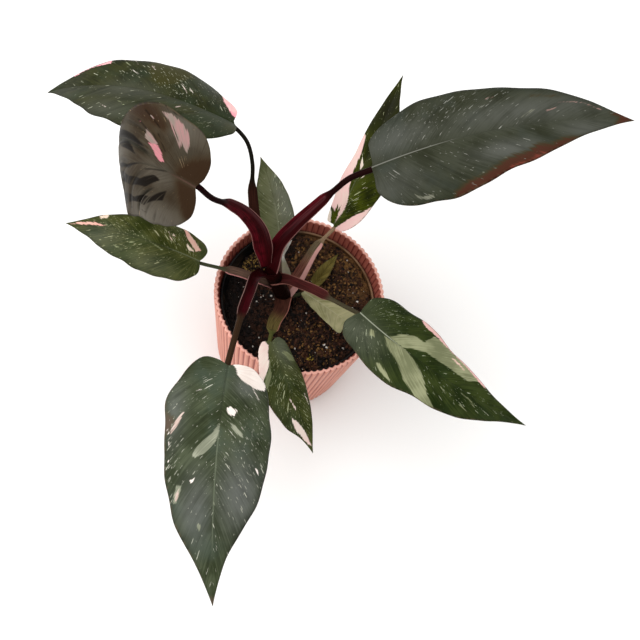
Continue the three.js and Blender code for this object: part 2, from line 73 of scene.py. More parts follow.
# ------------ curves and fields
def smooth_curve(points: Sequence, shares: Array) -> Array:
    """Samples a centripetal Catmull-Rom curve.

    Args:
        points: The knots, two or more, in any number of dimensions.
        shares: Where to sample, from 0 to 1, with every span between knots of equal weight.

    Returns:
        One point per share.
    """
    knots = np.asarray(points, float)
    knots = np.vstack([2 * knots[0] - knots[1], knots, 2 * knots[-1] - knots[-2]])
    spans = len(knots) - 3
    place = np.clip(shares, 0, 1) * spans
    low = np.minimum(place.astype(int), spans - 1)
    mix = (place - low)[:, None]
    p0, p1, p2, p3 = (knots[low + k] for k in range(4))
    d0, d1, d2 = (np.sqrt(np.linalg.norm(b - a, axis=1))[:, None] for a, b in ((p0, p1), (p1, p2), (p2, p3)))
    start = ((p1 - p0) / d0 - (p2 - p0) / (d0 + d1) + (p2 - p1) / d1) * d1
    end = ((p2 - p1) / d1 - (p3 - p1) / (d1 + d2) + (p3 - p2) / d2) * d1
    square = -3 * p1 + 3 * p2 - 2 * start - end
    cube = 2 * p1 - 2 * p2 + start + end
    return p1 + start * mix + square * mix**2 + cube * mix**3


def even_curve(points: Sequence, shares: Array, stretch: Sequence[float] | float = 1.0) -> Array:
    """Samples the same curve at even shares of its length.

    Args:
        points: The knots.
        shares: Where to sample, as shares of the length.
        stretch: Scale of each coordinate while the length is measured.

    Returns:
        One point per share.
    """
    dense = smooth_curve(points, np.linspace(0, 1, 600))
    steps = np.linalg.norm(np.diff(dense * np.asarray(stretch), axis=0), axis=1)
    run = np.concatenate([[0], np.cumsum(steps)])
    return np.stack([np.interp(shares * run[-1], run, dense[:, k]) for k in range(dense.shape[1])], -1)


def unit(vectors: Array) -> Array:
    """Vectors of length one."""
    return vectors / np.linalg.norm(vectors, axis=-1, keepdims=True)


def step(low: float, high: float, value: Array) -> Array:
    """A smooth rise from 0 at low to 1 at high."""
    share = np.clip((value - low) / (high - low), 0, 1)
    return share * share * (3 - 2 * share)


def inside(outline: Sequence[Spot], x: Array, y: Array, scale: Spot) -> Array:
    """Distance of places to a closed outline, positive inside it.

    Args:
        outline: The outline's corners.
        x: First coordinates of the places.
        y: Second coordinates of the places.
        scale: Millimetres per unit of each coordinate.

    Returns:
        Signed distances in millimetres.
    """
    corners = np.asarray(outline, float) * scale
    x, y = x * scale[0], y * scale[1]
    nearest = np.full(x.shape, np.inf)
    within = np.zeros(x.shape, bool)
    for (ax, ay), (bx, by) in zip(corners, np.roll(corners, -1, axis=0)):
        run = (bx - ax, by - ay)
        length = max(run[0] ** 2 + run[1] ** 2, 1e-9)
        share = np.clip(((x - ax) * run[0] + (y - ay) * run[1]) / length, 0, 1)
        nearest = np.minimum(nearest, np.hypot(x - ax - share * run[0], y - ay - share * run[1]))
        crosses = (ay > y) != (by > y)
        slant = run[0] / (by - ay) if by != ay else 0.0
        within ^= crosses & (x < ax + (y - ay) * slant)
    return np.where(within, nearest, -nearest)


def around(radius: Array, angle: Array, height: Array) -> Array:
    """Points about the pots' common axis."""
    return np.stack([radius * np.cos(angle), radius * np.sin(angle), height], -1)


def beside(point: Array, side: Array, up: Array, across: Array, rise: Array) -> Array:
    """Points of a route set off sideways and upwards."""
    return point + side * across[:, None] + up * rise[:, None]


def read(stops: Array, share: Array) -> list[Array]:
    """The columns of a table of stops, read between its rows.

    Args:
        stops: One row per stop, all of equal weight.
        share: Where to read, from 0 at the first stop to 1 at the last.

    Returns:
        One array per column.
    """
    at = share * (len(stops) - 1)
    return [np.interp(at, np.arange(len(stops)), column) for column in stops.T]


def clumps(x: Array, y: Array, size: float, seed: int) -> Array:
    """Smooth lattice noise over the ground, from 0 to 1.

    Args:
        x: First coordinates in millimetres.
        y: Second coordinates in millimetres.
        size: Distance between lattice points.
        seed: Seed of the lattice.

    Returns:
        One value per place.
    """
    count = int(130 / size) + 3
    lattice = np.random.default_rng(seed).uniform(size=(count, count))
    across, along = x / size + count / 2, y / size + count / 2
    i, j = across.astype(int), along.astype(int)
    a, b = (k * k * (3 - 2 * k) for k in (across - i, along - j))
    low = lattice[i, j] * (1 - a) + lattice[i + 1, j] * a
    high = lattice[i, j + 1] * (1 - a) + lattice[i + 1, j + 1] * a
    return low * (1 - b) + high * b


# ------------ meshes
def lone(piece: Piece) -> None:
    """Selects one piece and nothing else."""
    bpy.ops.object.select_all(action="DESELECT")
    piece.select_set(True)
    bpy.context.view_layer.objects.active = piece


@contextmanager
def editing(piece: Piece) -> Iterator[None]:
    """Opens one piece in edit mode with all of it selected, and closes it after the block.

    Args:
        piece: The piece to edit.

    Yields:
        Nothing; the operators of the block act on the piece.
    """
    lone(piece)
    bpy.ops.object.mode_set(mode="EDIT")
    bpy.ops.mesh.select_all(action="SELECT")
    yield
    bpy.ops.object.mode_set(mode="OBJECT")


def corners(piece: Piece) -> Array:
    """The vertices of a piece in metres, one row each."""
    flat = np.empty(len(piece.data.vertices) * 3)
    piece.data.vertices.foreach_get("co", flat)
    return flat.reshape(-1, 3)


def placed(name: str, data: bpy.types.ID) -> Piece:
    """A new object with the given data, in the scene."""
    piece = bpy.data.objects.new(name, data)
    bpy.context.scene.collection.objects.link(piece)
    return piece


def sheet(name: str, columns: int, rows: int, place: Place) -> Piece:
    """A primitive grid whose vertices go where a function puts them.

    Args:
        name: The piece's name.
        columns: Faces along the grid's first direction.
        rows: Faces along its second direction.
        place: Gives points in millimetres for places from 0 to 1 in both directions.

    Returns:
        The new piece, at the origin.
    """
    bpy.ops.object.select_all(action="DESELECT")
    bpy.ops.mesh.primitive_grid_add(x_subdivisions=columns, y_subdivisions=rows, size=1)
    piece = bpy.context.object
    piece.name = piece.data.name = name
    flat = corners(piece)
    u, v = (np.clip(flat[:, k] + 0.5, 0, 1) for k in (0, 1))
    piece.data.vertices.foreach_set("co", (place(u, v) * MM).ravel())
    piece.data.update()
    return piece


def close(piece: Piece) -> None:
    """Merges a sheet's seams and poles, fills its open ends and turns its faces outwards."""
    with editing(piece):
        bpy.ops.mesh.remove_doubles(threshold=WELD * MM)
        bpy.ops.mesh.fill_holes(sides=0)
        bpy.ops.mesh.select_all(action="SELECT")
        bpy.ops.mesh.normals_make_consistent(inside=False)
    bpy.ops.object.shade_smooth()


def paint(piece: Piece, name: str, *channels: Array) -> None:
    """Stores up to four numbers per vertex as a colour attribute for the piece's material."""
    count = len(piece.data.vertices)
    values = np.zeros((count, 4), np.float32)
    for k, channel in enumerate(channels):
        values[:, k] = channel
    layer = piece.data.attributes.new(name, "FLOAT_COLOR", "POINT")
    layer.data.foreach_set("color", values.ravel())


def settle(piece: Piece, material: Material, slot: str, *nodes: str) -> None:
    """Dresses a finished piece and ties it to the frame.

    Args:
        piece: The piece.
        material: Its material.
        slot: The record's material slot it belongs to; not used.
        nodes: The solids it stands for.
    """
    piece.data.materials.clear()
    piece.data.materials.append(material)
    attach(piece, "root")
    if nodes:
        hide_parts(*nodes)
    log.info("%s: %d faces", piece.name, len(piece.data.polygons))


# ------------ material graphs
class Graph:
    """One material's node tree, wired from Python values and sockets."""

    def __init__(self, name: str) -> None:
        """Starts an empty tree in a new material of that name."""
        self.material = bpy.data.materials.new(name)
        self.material.use_nodes = True
        self.tree = self.material.node_tree
        self.tree.nodes.clear()

    def feed(self, socket: Socket, value: Input) -> None:
        """Links a socket to another, or sets its number or colour."""
        if isinstance(value, Socket):
            self.tree.links.new(value, socket)
        elif isinstance(value, tuple) and len(value) == 3 and socket.type == "RGBA":
            socket.default_value = (*value, 1.0)
        else:
            socket.default_value = value

    def add(self, kind: str, inputs: dict | None = None, **settings: object) -> bpy.types.Node:
        """Adds a node.

        Args:
            kind: The node's type after "ShaderNode".
            inputs: Values or sockets by input name or number.
            settings: The node's own properties.

        Returns:
            The node.
        """
        node = self.tree.nodes.new("ShaderNode" + kind)
        for key, value in settings.items():
            setattr(node, key, value)
        for key, value in (inputs or {}).items():
            self.feed(node.inputs[key], value)
        return node

    def math(self, operation: str, *values: Input) -> Socket:
        """The result of one Math node."""
        return self.add("Math", dict(enumerate(values)), operation=operation).outputs[0]

    def times(self, first: Input, second: Input) -> Socket:
        """The product of two numbers."""
        return self.math("MULTIPLY", first, second)

    def affine(self, value: Input, factor: Input, offset: Input) -> Socket:
        """A number times a factor, plus an offset."""
        return self.math("MULTIPLY_ADD", value, factor, offset)

    def sway(self, value: Input, noise: Socket, amount: float) -> Socket:
        """A number moved up and down by noise about its middle."""
        return self.affine(self.math("SUBTRACT", noise, 0.5), amount, value)

    def rise(self, value: Input, low: float, high: float) -> Socket:
        """A smooth rise from 0 at low to 1 at high, or a fall where high is the smaller."""
        inputs = {"Value": value, "From Min": low, "From Max": high}
        return self.add("MapRange", inputs, interpolation_type="SMOOTHSTEP").outputs[0]

    def mix(self, factor: Input, first: Input, second: Input) -> Socket:
        """A mix of two colours."""
        return self.add("Mix", {0: factor, 6: first, 7: second}, data_type="RGBA").outputs[2]

    def attribute(self, name: str) -> tuple[Socket, ...]:
        """The four numbers of a piece's attribute."""
        source = self.add("Attribute", attribute_name=name)
        parts = self.add("SeparateColor", {0: source.outputs["Color"]})
        return (*parts.outputs, source.outputs["Alpha"])

    def scaled(self, vector: Socket, scale: Point, shift: Point = (0, 0, 0)) -> Socket:
        """A vector scaled on each axis and then shifted."""
        return self.add("Mapping", {0: vector, 1: shift, 3: scale}).outputs[0]

    def noise(self, vector: Input, scale: float, detail: float = 2.0) -> Socket:
        """Noise from 0 to 1, mostly near the middle."""
        inputs = {"Vector": vector, "Scale": scale, "Detail": detail}
        return self.add("TexNoise", inputs).outputs[0]

    def streaks(self, run: Socket, scale: Spot, detail: float = 2.0) -> Socket:
        """Noise over a flat run of places, with its own scale along and across."""
        return self.noise(self.scaled(run, (*scale, 0.0)), 1.0, detail)

    def parts(self, vector: Socket) -> Sequence[Socket]:
        """The three coordinates of a vector."""
        return self.add("SeparateXYZ", {0: vector}).outputs

    def place(self) -> Socket:
        """Places in the piece's own metres."""
        return self.add("TexCoord").outputs["Object"]

    def towards(self, way: Spot, near: float, far: float) -> Socket:
        """A smooth rise over level ground in one direction, between two distances in millimetres."""
        x, y, _ = self.parts(self.place())
        run = self.affine(x, way[0], self.times(y, way[1]))
        return self.rise(run, near * MM, far * MM)

    def bump(self, height: Input, strength: float, distance: float) -> Socket:
        """A bumped normal; the distance is in millimetres."""
        inputs = {"Height": height, "Strength": strength, "Distance": distance * MM}
        return self.add("Bump", inputs).outputs[0]

    def surface(self, **inputs: Input) -> Material:
        """Ends the tree in a principled shader with the given inputs, underscores standing for spaces."""
        shader = self.add("BsdfPrincipled", {key.replace("_", " "): value for key, value in inputs.items()})
        self.add("OutputMaterial", {"Surface": shader.outputs[0]})
        return self.material


# ------------ finishes
@dataclass(frozen=True)
class CoralFinish:
    """Matte coral plastic, with painted shade in its flutes and on its inner face, and a painted highlight
    along its lip.
    """

    ridge: Colour = (0.6, 0.245, 0.175)
    # painted shade: the flutes' colour outside, and the inner face's colours on its ridges and in its flutes
    groove_shade: Colour = (0.3, 0.07, 0.05)
    inner_ridge_shade: Colour = (0.36, 0.1, 0.07)
    inner_groove_shade: Colour = (0.13, 0.02, 0.013)
    # painted highlight: the lip's colour, and the heights over which it fades in
    lip: Colour = (0.72, 0.36, 0.29)
    lip_highlight_span: Spot = (108.9, 109.8)
    roughness: float = 0.4
    shine: float = 0.3

    def material(self) -> Material:
        """Makes the material."""
        g = Graph("coral_plastic")
        groove_shade, inner, _, _ = g.attribute("flute")
        height = g.parts(g.place())[2]
        speck = g.noise(g.place(), 800.0)
        cloud = g.noise(g.place(), 40.0)
        # how strong the painted shade in the flutes is
        deep = g.rise(g.affine(cloud, 0.3, groove_shade), 0.3, 1.1)
        outside = g.mix(deep, self.ridge, self.groove_shade)
        shaded_inside = g.mix(deep, self.inner_ridge_shade, self.inner_groove_shade)
        low, high = self.lip_highlight_span
        # the inner face takes its painted shade, and the band at the lip its painted highlight
        body = g.mix(g.rise(height, low * MM, high * MM), g.mix(inner, outside, shaded_inside), self.lip)
        return g.surface(
            Base_Color=body,
            Roughness=g.affine(cloud, 0.2, self.roughness),
            Specular_IOR_Level=self.shine,
            Normal=g.bump(speck, 0.2, 0.1),
        )


@dataclass(frozen=True)
class MouldedFinish:
    """Black plastic with a fine moulded grain; soil dust lies on its lip and scuffs its wall."""

    colour: Colour = (0.004, 0.004, 0.004)
    scuff: Colour = (0.03, 0.02, 0.014)
    dust: Colour = (0.24, 0.14, 0.08)
    rubbed: Colour = (0.02, 0.018, 0.017)
    dust_span: Spot = (97.4, 98.3)
    crust: Colour = (0.075, 0.035, 0.014)
    far_way: Spot = (1.0, 1.2)  # the side whose wall is crusted with soil
    far_span: Spot = (30, 60)
    roughness: float = 0.35
    shine: float = 0.06

    def material(self) -> Material:
        """Makes the material."""
        g = Graph("black_plastic")
        height = g.parts(g.place())[2]
        cloud = g.noise(g.place(), 55.0, 3.0)
        speck = g.noise(g.place(), 900.0)
        scuffed = g.rise(g.affine(speck, 0.35, cloud), 0.6, 0.9)
        far = g.towards(self.far_way, *self.far_span)
        wall = g.mix(far, g.mix(scuffed, self.colour, self.scuff), self.crust)
        low, high = self.dust_span
        dusty = g.times(g.rise(height, low * MM, high * MM), g.rise(cloud, 0.25, 0.6))
        lip = g.mix(far, self.rubbed, self.dust)
        return g.surface(
            Base_Color=g.mix(dusty, wall, lip),
            Roughness=g.affine(cloud, 0.3, self.roughness),
            Specular_IOR_Level=self.shine,
            Normal=g.bump(speck, 0.3, 0.12),
        )


@dataclass(frozen=True)
class SoilFinish:
    """Peat: near black, browner on its crumbs, dry and tawny on one side, and darkened by painted shadow
    towards the other.
    """

    # near black; also the colour of the painted shadow
    deep: Colour = (0.003, 0.0012, 0.0006)
    crumb: Colour = (0.05, 0.017, 0.007)
    dry: Colour = (0.15, 0.07, 0.02)
    dry_at: Point = (28.0, 62.0, 92.0)
    dry_reach: Spot = (14.0, 62.0)
    shadow_strength: float = 0.85
    roughness: float = 0.95
    shine: float = 0.2

    def material(self) -> Material:
        """Makes the material."""
        g = Graph("peat")
        fine = g.noise(g.place(), 650.0, 4.0)
        broad = g.noise(g.place(), 60.0, 3.0)
        centre = tuple(k * MM for k in self.dry_at)
        away = g.add("VectorMath", {0: g.place(), 1: centre}, operation="DISTANCE")
        near = g.rise(away.outputs["Value"], self.dry_reach[1] * MM, self.dry_reach[0] * MM)
        dry = g.times(near, g.rise(g.affine(fine, 0.6, broad), 0.62, 0.95))
        lumpy = g.affine(g.noise(g.place(), 190.0, 3.0), 0.7, g.times(fine, 0.4))
        crumbs = g.mix(g.rise(lumpy, 0.5, 0.66), self.deep, self.crumb)
        body = g.mix(dry, crumbs, self.dry)
        # painted shadow, deepening towards one side
        shadowed = g.times(g.towards(SHADOW_WAY, *SHADOW_SPAN), self.shadow_strength)
        return g.surface(
            Base_Color=g.mix(shadowed, body, self.deep),
            Roughness=g.affine(fine, -0.25, self.roughness),
            Specular_IOR_Level=self.shine,
            Normal=g.bump(fine, 0.9, 1.2),
        )


@dataclass(frozen=True)
class CrumbFinish:
    """Loose bits whose colour runs between two tones from bit to bit, and darkens under the soil's painted
    shadow.
    """

    name: str
    dark: Colour
    pale: Colour
    roughness: float
    scale: float
    # strength and colour of the painted shadow
    shadow_strength: float = 0.85
    shadow_colour: Colour = (0.003, 0.001, 0.001)
    shine: float = 0.25

    def material(self) -> Material:
        """Makes the material."""
        g = Graph(self.name)
        tint = g.attribute("tint")[0]
        fine = g.noise(g.place(), self.scale, 3.0)
        share = g.sway(tint, fine, 0.8)
        rough = g.affine(fine, 0.2, self.roughness - 0.1)
        body = g.mix(g.rise(share, 0.0, 1.0), self.dark, self.pale)
        # painted shadow, deepening towards one side
        shadowed = g.times(g.towards(SHADOW_WAY, *SHADOW_SPAN), self.shadow_strength)
        return g.surface(
            Base_Color=g.mix(shadowed, body, self.shadow_colour),
            Roughness=rough,
            Specular_IOR_Level=self.shine,
            Normal=g.bump(fine, 0.6, 0.4),
        )


@dataclass(frozen=True)
class StalkFinish:
    """Skin of a petiole: its sheath and the channel in it, the sheath's rims, its bare upper part, and a
    painted highlight along its lit side.
    """

    name: str
    skin: Colour
    inner: Colour
    rim: Colour
    bare: Colour
    # colour of the painted highlight on the lit side, and how much of it shows
    glow: Colour = (0.16, 0.006, 0.02)
    highlight_share: float = 0.0
    upper: Colour | None = None
    upper_span: Spot = (0.3, 0.62)
    streak_colour: Colour = (0.003, 0.002, 0.002)
    roughness: float = 0.4
    shine: float = 0.012

    def material(self) -> Material:
        """Makes the material."""
        g = Graph(self.name)
        rim, sheath, channel, lit_side = g.attribute("skin")
        run = g.add("UVMap").outputs[0]
        streak = g.streaks(run, (5.0, 60.0), 3.0)
        cloud = g.noise(g.place(), 120.0)
        body = g.mix(channel, self.skin, self.inner)
        if self.upper:
            along = g.parts(run)[0]
            body = g.mix(g.rise(along, *self.upper_span), body, self.upper)
        # painted highlight along the lit side, broken into streaks
        lit = g.times(lit_side, g.rise(g.affine(streak, 0.6, cloud), 0.55, 0.95))
        body = g.mix(g.times(lit, self.highlight_share), body, self.glow)
        body = g.mix(sheath, self.bare, body)
        body = g.mix(g.rise(streak, 0.4, 0.62), g.mix(0.5, body, self.streak_colour), body)
        edge = g.rise(g.sway(rim, streak, 0.5), 0.35, 0.65)
        return g.surface(
            Base_Color=g.mix(edge, body, self.rim),
            Roughness=g.affine(streak, 0.2, self.roughness - 0.1),
            Specular_IOR_Level=self.shine,
            Normal=g.bump(streak, 0.3, 0.2),
        )


@dataclass(frozen=True)
class LeafFinish:
    """Skin of one leaf blade. Its markings come from the blade's own attributes.

    The ground runs between dark and light, takes a painted sheen in soft patches, and carries a pale midrib,
    painted shade in its creases, flecks along the veins, and sectors of sage, cream, pink and rust with
    ragged edges. The sheen colour of the splashed leaf is dark, so there it paints shade. Folds get painted
    shade and painted highlights.
    """

    name: str
    dark: Colour
    light: Colour
    # colour of the painted sheen; where it is dark, as on the splashed leaf, it paints shade
    sheen_and_shade: Colour = (0.1, 0.11, 0.1)
    cool: Colour = (0.04, 0.055, 0.028)
    rust: Colour = (0.12, 0.025, 0.014)
    rust_fringe: Colour = (0.035, 0.018, 0.007)
    rust_edge: Spot = (0.36, 0.62)
    ember: Colour | None = None
    pink: Colour = (0.78, 0.42, 0.42)
    cream: Colour = (0.8, 0.72, 0.62)
    sage: Colour = (0.3, 0.33, 0.19)
    fleck_colour: Colour = (0.5, 0.52, 0.36)
    rib: Colour = (0.2, 0.22, 0.15)
    rib_span: Spot = (-0.1, 0.3)
    rib_strength: float = 0.5
    under: Colour = (0.1, 0.08, 0.045)
    flecks: float = 0.3
    crease_shade: float = 0.3
    roughness: float = 0.4
    shine: float = 0.045
    edge_shade: float = 0.35
    rib_width: float = 1.0
    rib_dark: Colour = (0.012, 0.014, 0.008)
    rim_dark: Colour = (0.008, 0.01, 0.004)
    crease_shadow: Colour = (0.006, 0.007, 0.004)
    # colour of the painted shade in the folds of the new leaf
    fold_shadow: Colour = (0.004, 0.0025, 0.0015)
    # noise ranges that give a fold its painted highlight and its painted shade
    FOLD_GLOSS, FOLD_DARK = (-0.17, -0.24), (-0.17, -0.05)  # noise over which a fold shines, and darkens

    def fleck(self, g: Graph, veins: Socket, size: Spot, share: Input) -> Socket:
        """Mask of short streaks that lie along the veins.

        Args:
            g: The material's graph.
            veins: Places along the margin and along the veins, in millimetres.
            size: Cell size across and along the veins.
            share: Share of the cells that hold a fleck.

        Returns:
            A mask from 0 to 1.
        """
        cells = g.scaled(veins, (1 / size[0], 1 / size[1], 0.0))
        warp = g.add("TexNoise", {"Vector": g.scaled(veins, (1.6, 0.5, 0)), "Scale": 1.0}).outputs["Color"]
        ragged = g.add("VectorMath", {0: warp, 1: (0.5, 0.5, 0.0), 2: cells}, operation="MULTIPLY_ADD")
        cell = g.add("TexVoronoi", {"Vector": ragged.outputs[0], "Scale": 1.0}, voronoi_dimensions="2D")
        chance, girth, _ = g.add("SeparateColor", {0: cell.outputs["Color"]}).outputs
        patch = g.rise(g.streaks(veins, (0.055, 0.04), 3.0), 0.33, 0.55)
        there = g.math("LESS_THAN", chance, g.times(share, patch))
        reach = g.affine(g.math("POWER", girth, 2.5), 0.24, 0.07)
        body = g.math("SUBTRACT", reach, cell.outputs["Distance"])
        return g.times(there, g.rise(body, -0.03, 0.05))

    def ground(self, g: Graph, veins: Socket, tone: Socket) -> Socket:
        """Colour of the green tissue, before flecks and sectors.

        Args:
            g: The material's graph.
            veins: Places along the margin and along the veins, in millimetres.
            tone: Broad clouds with streaks along the veins.

        Returns:
            The colour.
        """
        sheen_and_shade, _, crease, _ = g.attribute("tones")
        body = g.mix(g.rise(tone, 0.3, 0.7), self.dark, self.light)
        drift = g.noise(g.add("VectorMath", {0: g.place(), 1: (3.0, 1.0, 2.0)}).outputs[0], 38.0, 3.0)
        body = g.mix(g.times(g.rise(drift, 0.48, 0.66), 0.6), body, self.cool)
        fine = g.streaks(veins, (2.4, 0.05))
        body = g.mix(g.times(g.rise(fine, 0.5, 0.68), 0.28), body, self.dark)
        # painted sheen in soft patches, stronger where the tone is light; a dark sheen colour paints shade
        haze = g.times(sheen_and_shade, g.affine(g.rise(tone, 0.2, 0.6), 0.4, 0.6))
        body = g.mix(haze, body, self.sheen_and_shade)
        rim = g.rise(g.attribute("site")[3], 0.84, 1.0)
        body = g.mix(g.times(rim, self.edge_shade), body, self.rim_dark)
        # painted shade along the sunken side veins
        return g.mix(g.times(crease, self.crease_shade), body, self.crease_shadow)

    def midrib(self, g: Graph, body: Socket) -> Socket:
        """The tissue with its midrib: a pale line over part of the length, a dark one over the rest."""
        along, from_rib, _, _ = g.attribute("site")
        line = g.rise(g.affine(along, 0.05, from_rib), 0.09 * self.rib_width, 0.03)
        start, end = self.rib_span
        opening = g.rise(along, start - 0.08, start + 0.04)
        pale = g.times(opening, g.rise(along, end + 0.1, end - 0.06))
        dark = g.times(g.math("SUBTRACT", 1.0, pale), 0.3)
        body = g.mix(g.times(line, dark), body, self.rib_dark)
        strength = g.times(g.times(line, pale), self.rib_strength)
        return g.mix(strength, body, self.rib)

    def sectors(self, g: Graph, body: Socket, tone: Socket, veins: Socket) -> Socket:
        """The tissue with the painted shade and painted highlights of its folds, and then its ragged sectors
        of sage, cream and pink.
        """
        pink, cream, sage, _ = g.attribute("marks")
        shade = g.attribute("site")[2]
        ragged = g.streaks(veins, (0.75, 0.1), 3.0)
        jag = g.affine(ragged, 0.3, -0.15)
        bands = g.math("SUBTRACT", g.streaks(veins, (0.24, 0.014), 3.0), 0.5)
        within = g.rise(shade, 0.44, 0.54)
        # painted highlight and painted shade in the folds
        fold_highlight = g.times(within, g.rise(bands, *self.FOLD_GLOSS))
        body = g.mix(g.times(fold_highlight, 0.45), body, self.sheen_and_shade)
        shadowed_fold = g.times(within, g.rise(bands, *self.FOLD_DARK))
        body = g.mix(g.times(shadowed_fold, 0.96), body, self.fold_shadow)
        grey_green = g.mix(g.rise(tone, 0.35, 0.7), g.mix(0.5, self.sage, self.light), self.sage)
        body = g.mix(g.rise(g.math("ADD", sage, jag), 0.46, 0.53), body, grey_green)
        milky = g.mix(g.rise(tone, 0.4, 0.65), self.cream, g.mix(0.3, self.cream, self.pink))
        body = g.mix(g.rise(g.math("ADD", cream, jag), 0.47, 0.53), body, milky)
        blush = g.mix(g.rise(tone, 0.38, 0.66), self.pink, g.mix(0.45, self.pink, self.cream))
        return g.mix(g.rise(g.math("ADD", pink, jag), 0.47, 0.53), body, blush)

    def material(self) -> Material:
        """Makes the material."""
        g = Graph(self.name)
        rust = g.attribute("marks")[3]
        _, fleck, crease, under = g.attribute("tones")
        veins = g.add("Attribute", attribute_name="veins").outputs["Vector"]
        streak = g.streaks(veins, (0.9, 0.045), 3.0)
        cloud = g.noise(g.place(), 60.0, 3.0)
        tone = g.sway(cloud, streak, 0.8)

        body = self.ground(g, veins, tone)
        ragged = g.sway(rust, streak, 0.6)
        rusty = g.mix(g.rise(ragged, 0.5, 0.74), self.rust_fringe, self.rust)
        glow = g.times(g.rise(ragged, 0.9, 1.08), g.rise(cloud, 0.45, 0.6))
        rusty = g.mix(glow, rusty, self.ember or self.rust)
        body = g.mix(g.times(g.rise(ragged, *self.rust_edge), 0.92), body, rusty)
        small = self.fleck(g, veins, (0.95, 5.5), g.times(fleck, 1.3 * self.flecks))
        large = self.fleck(g, g.scaled(veins, (1, 1, 1), (31.0, 17.0, 0)), (1.7, 11.0),
                           g.times(fleck, 0.6 * self.flecks))
        dots = self.fleck(g, g.scaled(veins, (1, 1, 1), (57.0, 29.0, 0)), (1.5, 1.7),
                          g.times(fleck, 0.55 * self.flecks))
        body = g.mix(g.times(g.math("MAXIMUM", small, dots), 0.7), body, self.fleck_colour)
        body = g.mix(g.times(large, 0.95), body, self.fleck_colour)
        body = self.sectors(g, self.midrib(g, body), tone, veins)
        back = g.mix(g.times(under, 0.78), body, self.under)

        rough = g.affine(g.math("ADD", streak, cloud), 0.14, self.roughness - 0.14)
        return g.surface(
            Base_Color=back,
            Roughness=g.affine(under, 0.2, rough),
            Specular_IOR_Level=self.shine,
            Normal=g.bump(streak, 0.35, 0.2),
        )


@dataclass(frozen=True)
class PaperFinish:
    """Dry bract tissue with fine lengthwise ribs."""

    pale: Colour
    dry: Colour
    base: Colour
    base_span: Spot = (0.62, 0.42)
    roughness: float = 0.7

    def material(self) -> Material:
        """Makes the material."""
        g = Graph("dry_bract")
        run = g.add("UVMap").outputs[0]
        ribs = g.streaks(run, (3.0, 46.0), 3.0)
        cloud = g.noise(g.place(), 260.0)
        share = g.rise(g.math("ADD", ribs, cloud), 0.8, 1.25)
        low = g.rise(g.parts(run)[0], *self.base_span)
        body = g.mix(low, g.mix(share, self.pale, self.dry), g.mix(share, self.base, self.dry))
        return g.surface(Base_Color=body, Roughness=self.roughness, Normal=g.bump(ribs, 0.5, 0.3))


@dataclass(frozen=True)
class FloorFinish:
    """Plain pale floor."""

    colour: Colour = (0.86, 0.86, 0.85)
    roughness: float = 0.85

    def material(self) -> Material:
        """Makes the material."""
        g = Graph("pale_floor")
        grain = g.noise(g.place(), 400.0)
        return g.surface(Base_Color=self.colour, Roughness=self.roughness, Normal=g.bump(grain, 0.05, 0.1))


# ------------ pots
@dataclass
class CupPot:
    """The fluted coral pot: an open cup whose flutes run round both faces of its wall."""

    height: float = 110.0
    rim_radius: float = 65.0
    foot_radius: float = 57.0
    wall: float = 3.0
    floor: float = 3.0
    flutes: int = 84
    flute_depth: float = 1.25
    flute_roundness: float = 0.75
    columns_per_flute: int = 10

    def profile(self) -> Array:
        """The wall's section.

        Returns:
            Stops of radius, height and share of the flutes' depth, from the underside's centre over the
            rim to the inside's centre.
        """
        top, rim, foot = self.height, self.rim_radius, self.foot_radius
        inner = rim - self.wall
        base = foot - self.wall - 1.0
        return np.array([
            (0, 0, 0), (foot * 0.6, 0, 0), (foot - 2.6, 0, 0), (foot - 1.0, 0.35, 0.3), (foot - 0.2, 1.5, 1),
            (foot + 0.5, 8, 1), (foot + 4, 55, 1), (rim - 0.35, top - 6, 1), (rim - 0.1, top - 2.2, 1),
            (rim - 0.25, top - 0.9, 1), (rim - 0.9, top - 0.15, 0.9), (rim - self.wall / 2, top, 0.8),
            (inner + 0.7, top - 0.2, 0.9), (inner + 0.1, top - 1.1, 1), (inner - 0.1, top - 2.6, 1),
            (inner - 0.6, top - 8, 1), (foot + 4 - self.wall, 55, 1), (base + 0.9, 8, 1), (base, 4.2, 0.6),
            (base - 1.5, self.floor, 0), (base * 0.5, self.floor, 0), (0, self.floor, 0),
        ], float)

    def swell(self, share: Array) -> Array:
        """How far the flutes stand out, from 0 to 1, at shares of a turn."""
        return np.abs(np.sin(share * np.pi * self.flutes)) ** self.flute_roundness

    def place(self, u: Array, v: Array) -> Array:
        """Points round the pot (u) and along its section (v)."""
        radius, height, cut = read(self.profile(), v)
        radius = radius + cut * self.flute_depth * (self.swell(u) - 0.8)
        return around(radius, u * TURN, height)

    def build(self, finish: CoralFinish) -> None:
        """Makes and dresses the pot."""
        columns, rows = self.flutes * self.columns_per_flute, len(self.profile()) - 1
        piece = sheet("coral_cup_pot", columns, rows, self.place)
        x, y, _ = corners(piece).T
        on_floor = np.hypot(x, y) < (self.foot_radius - self.wall - 1.5) * MM
        # where the coral material paints shade: in the flutes, and on the inner face
        groove_shade = 1 - self.swell(np.arctan2(y, x) / TURN)
        inner = np.repeat(np.arange(rows + 1) > rows / 2, columns + 1)
        paint(piece, "flute", np.where(on_floor, 0, groove_shade), inner)
        close(piece)
        settle(piece, finish.material(), "cup_pot", "cup_pot")


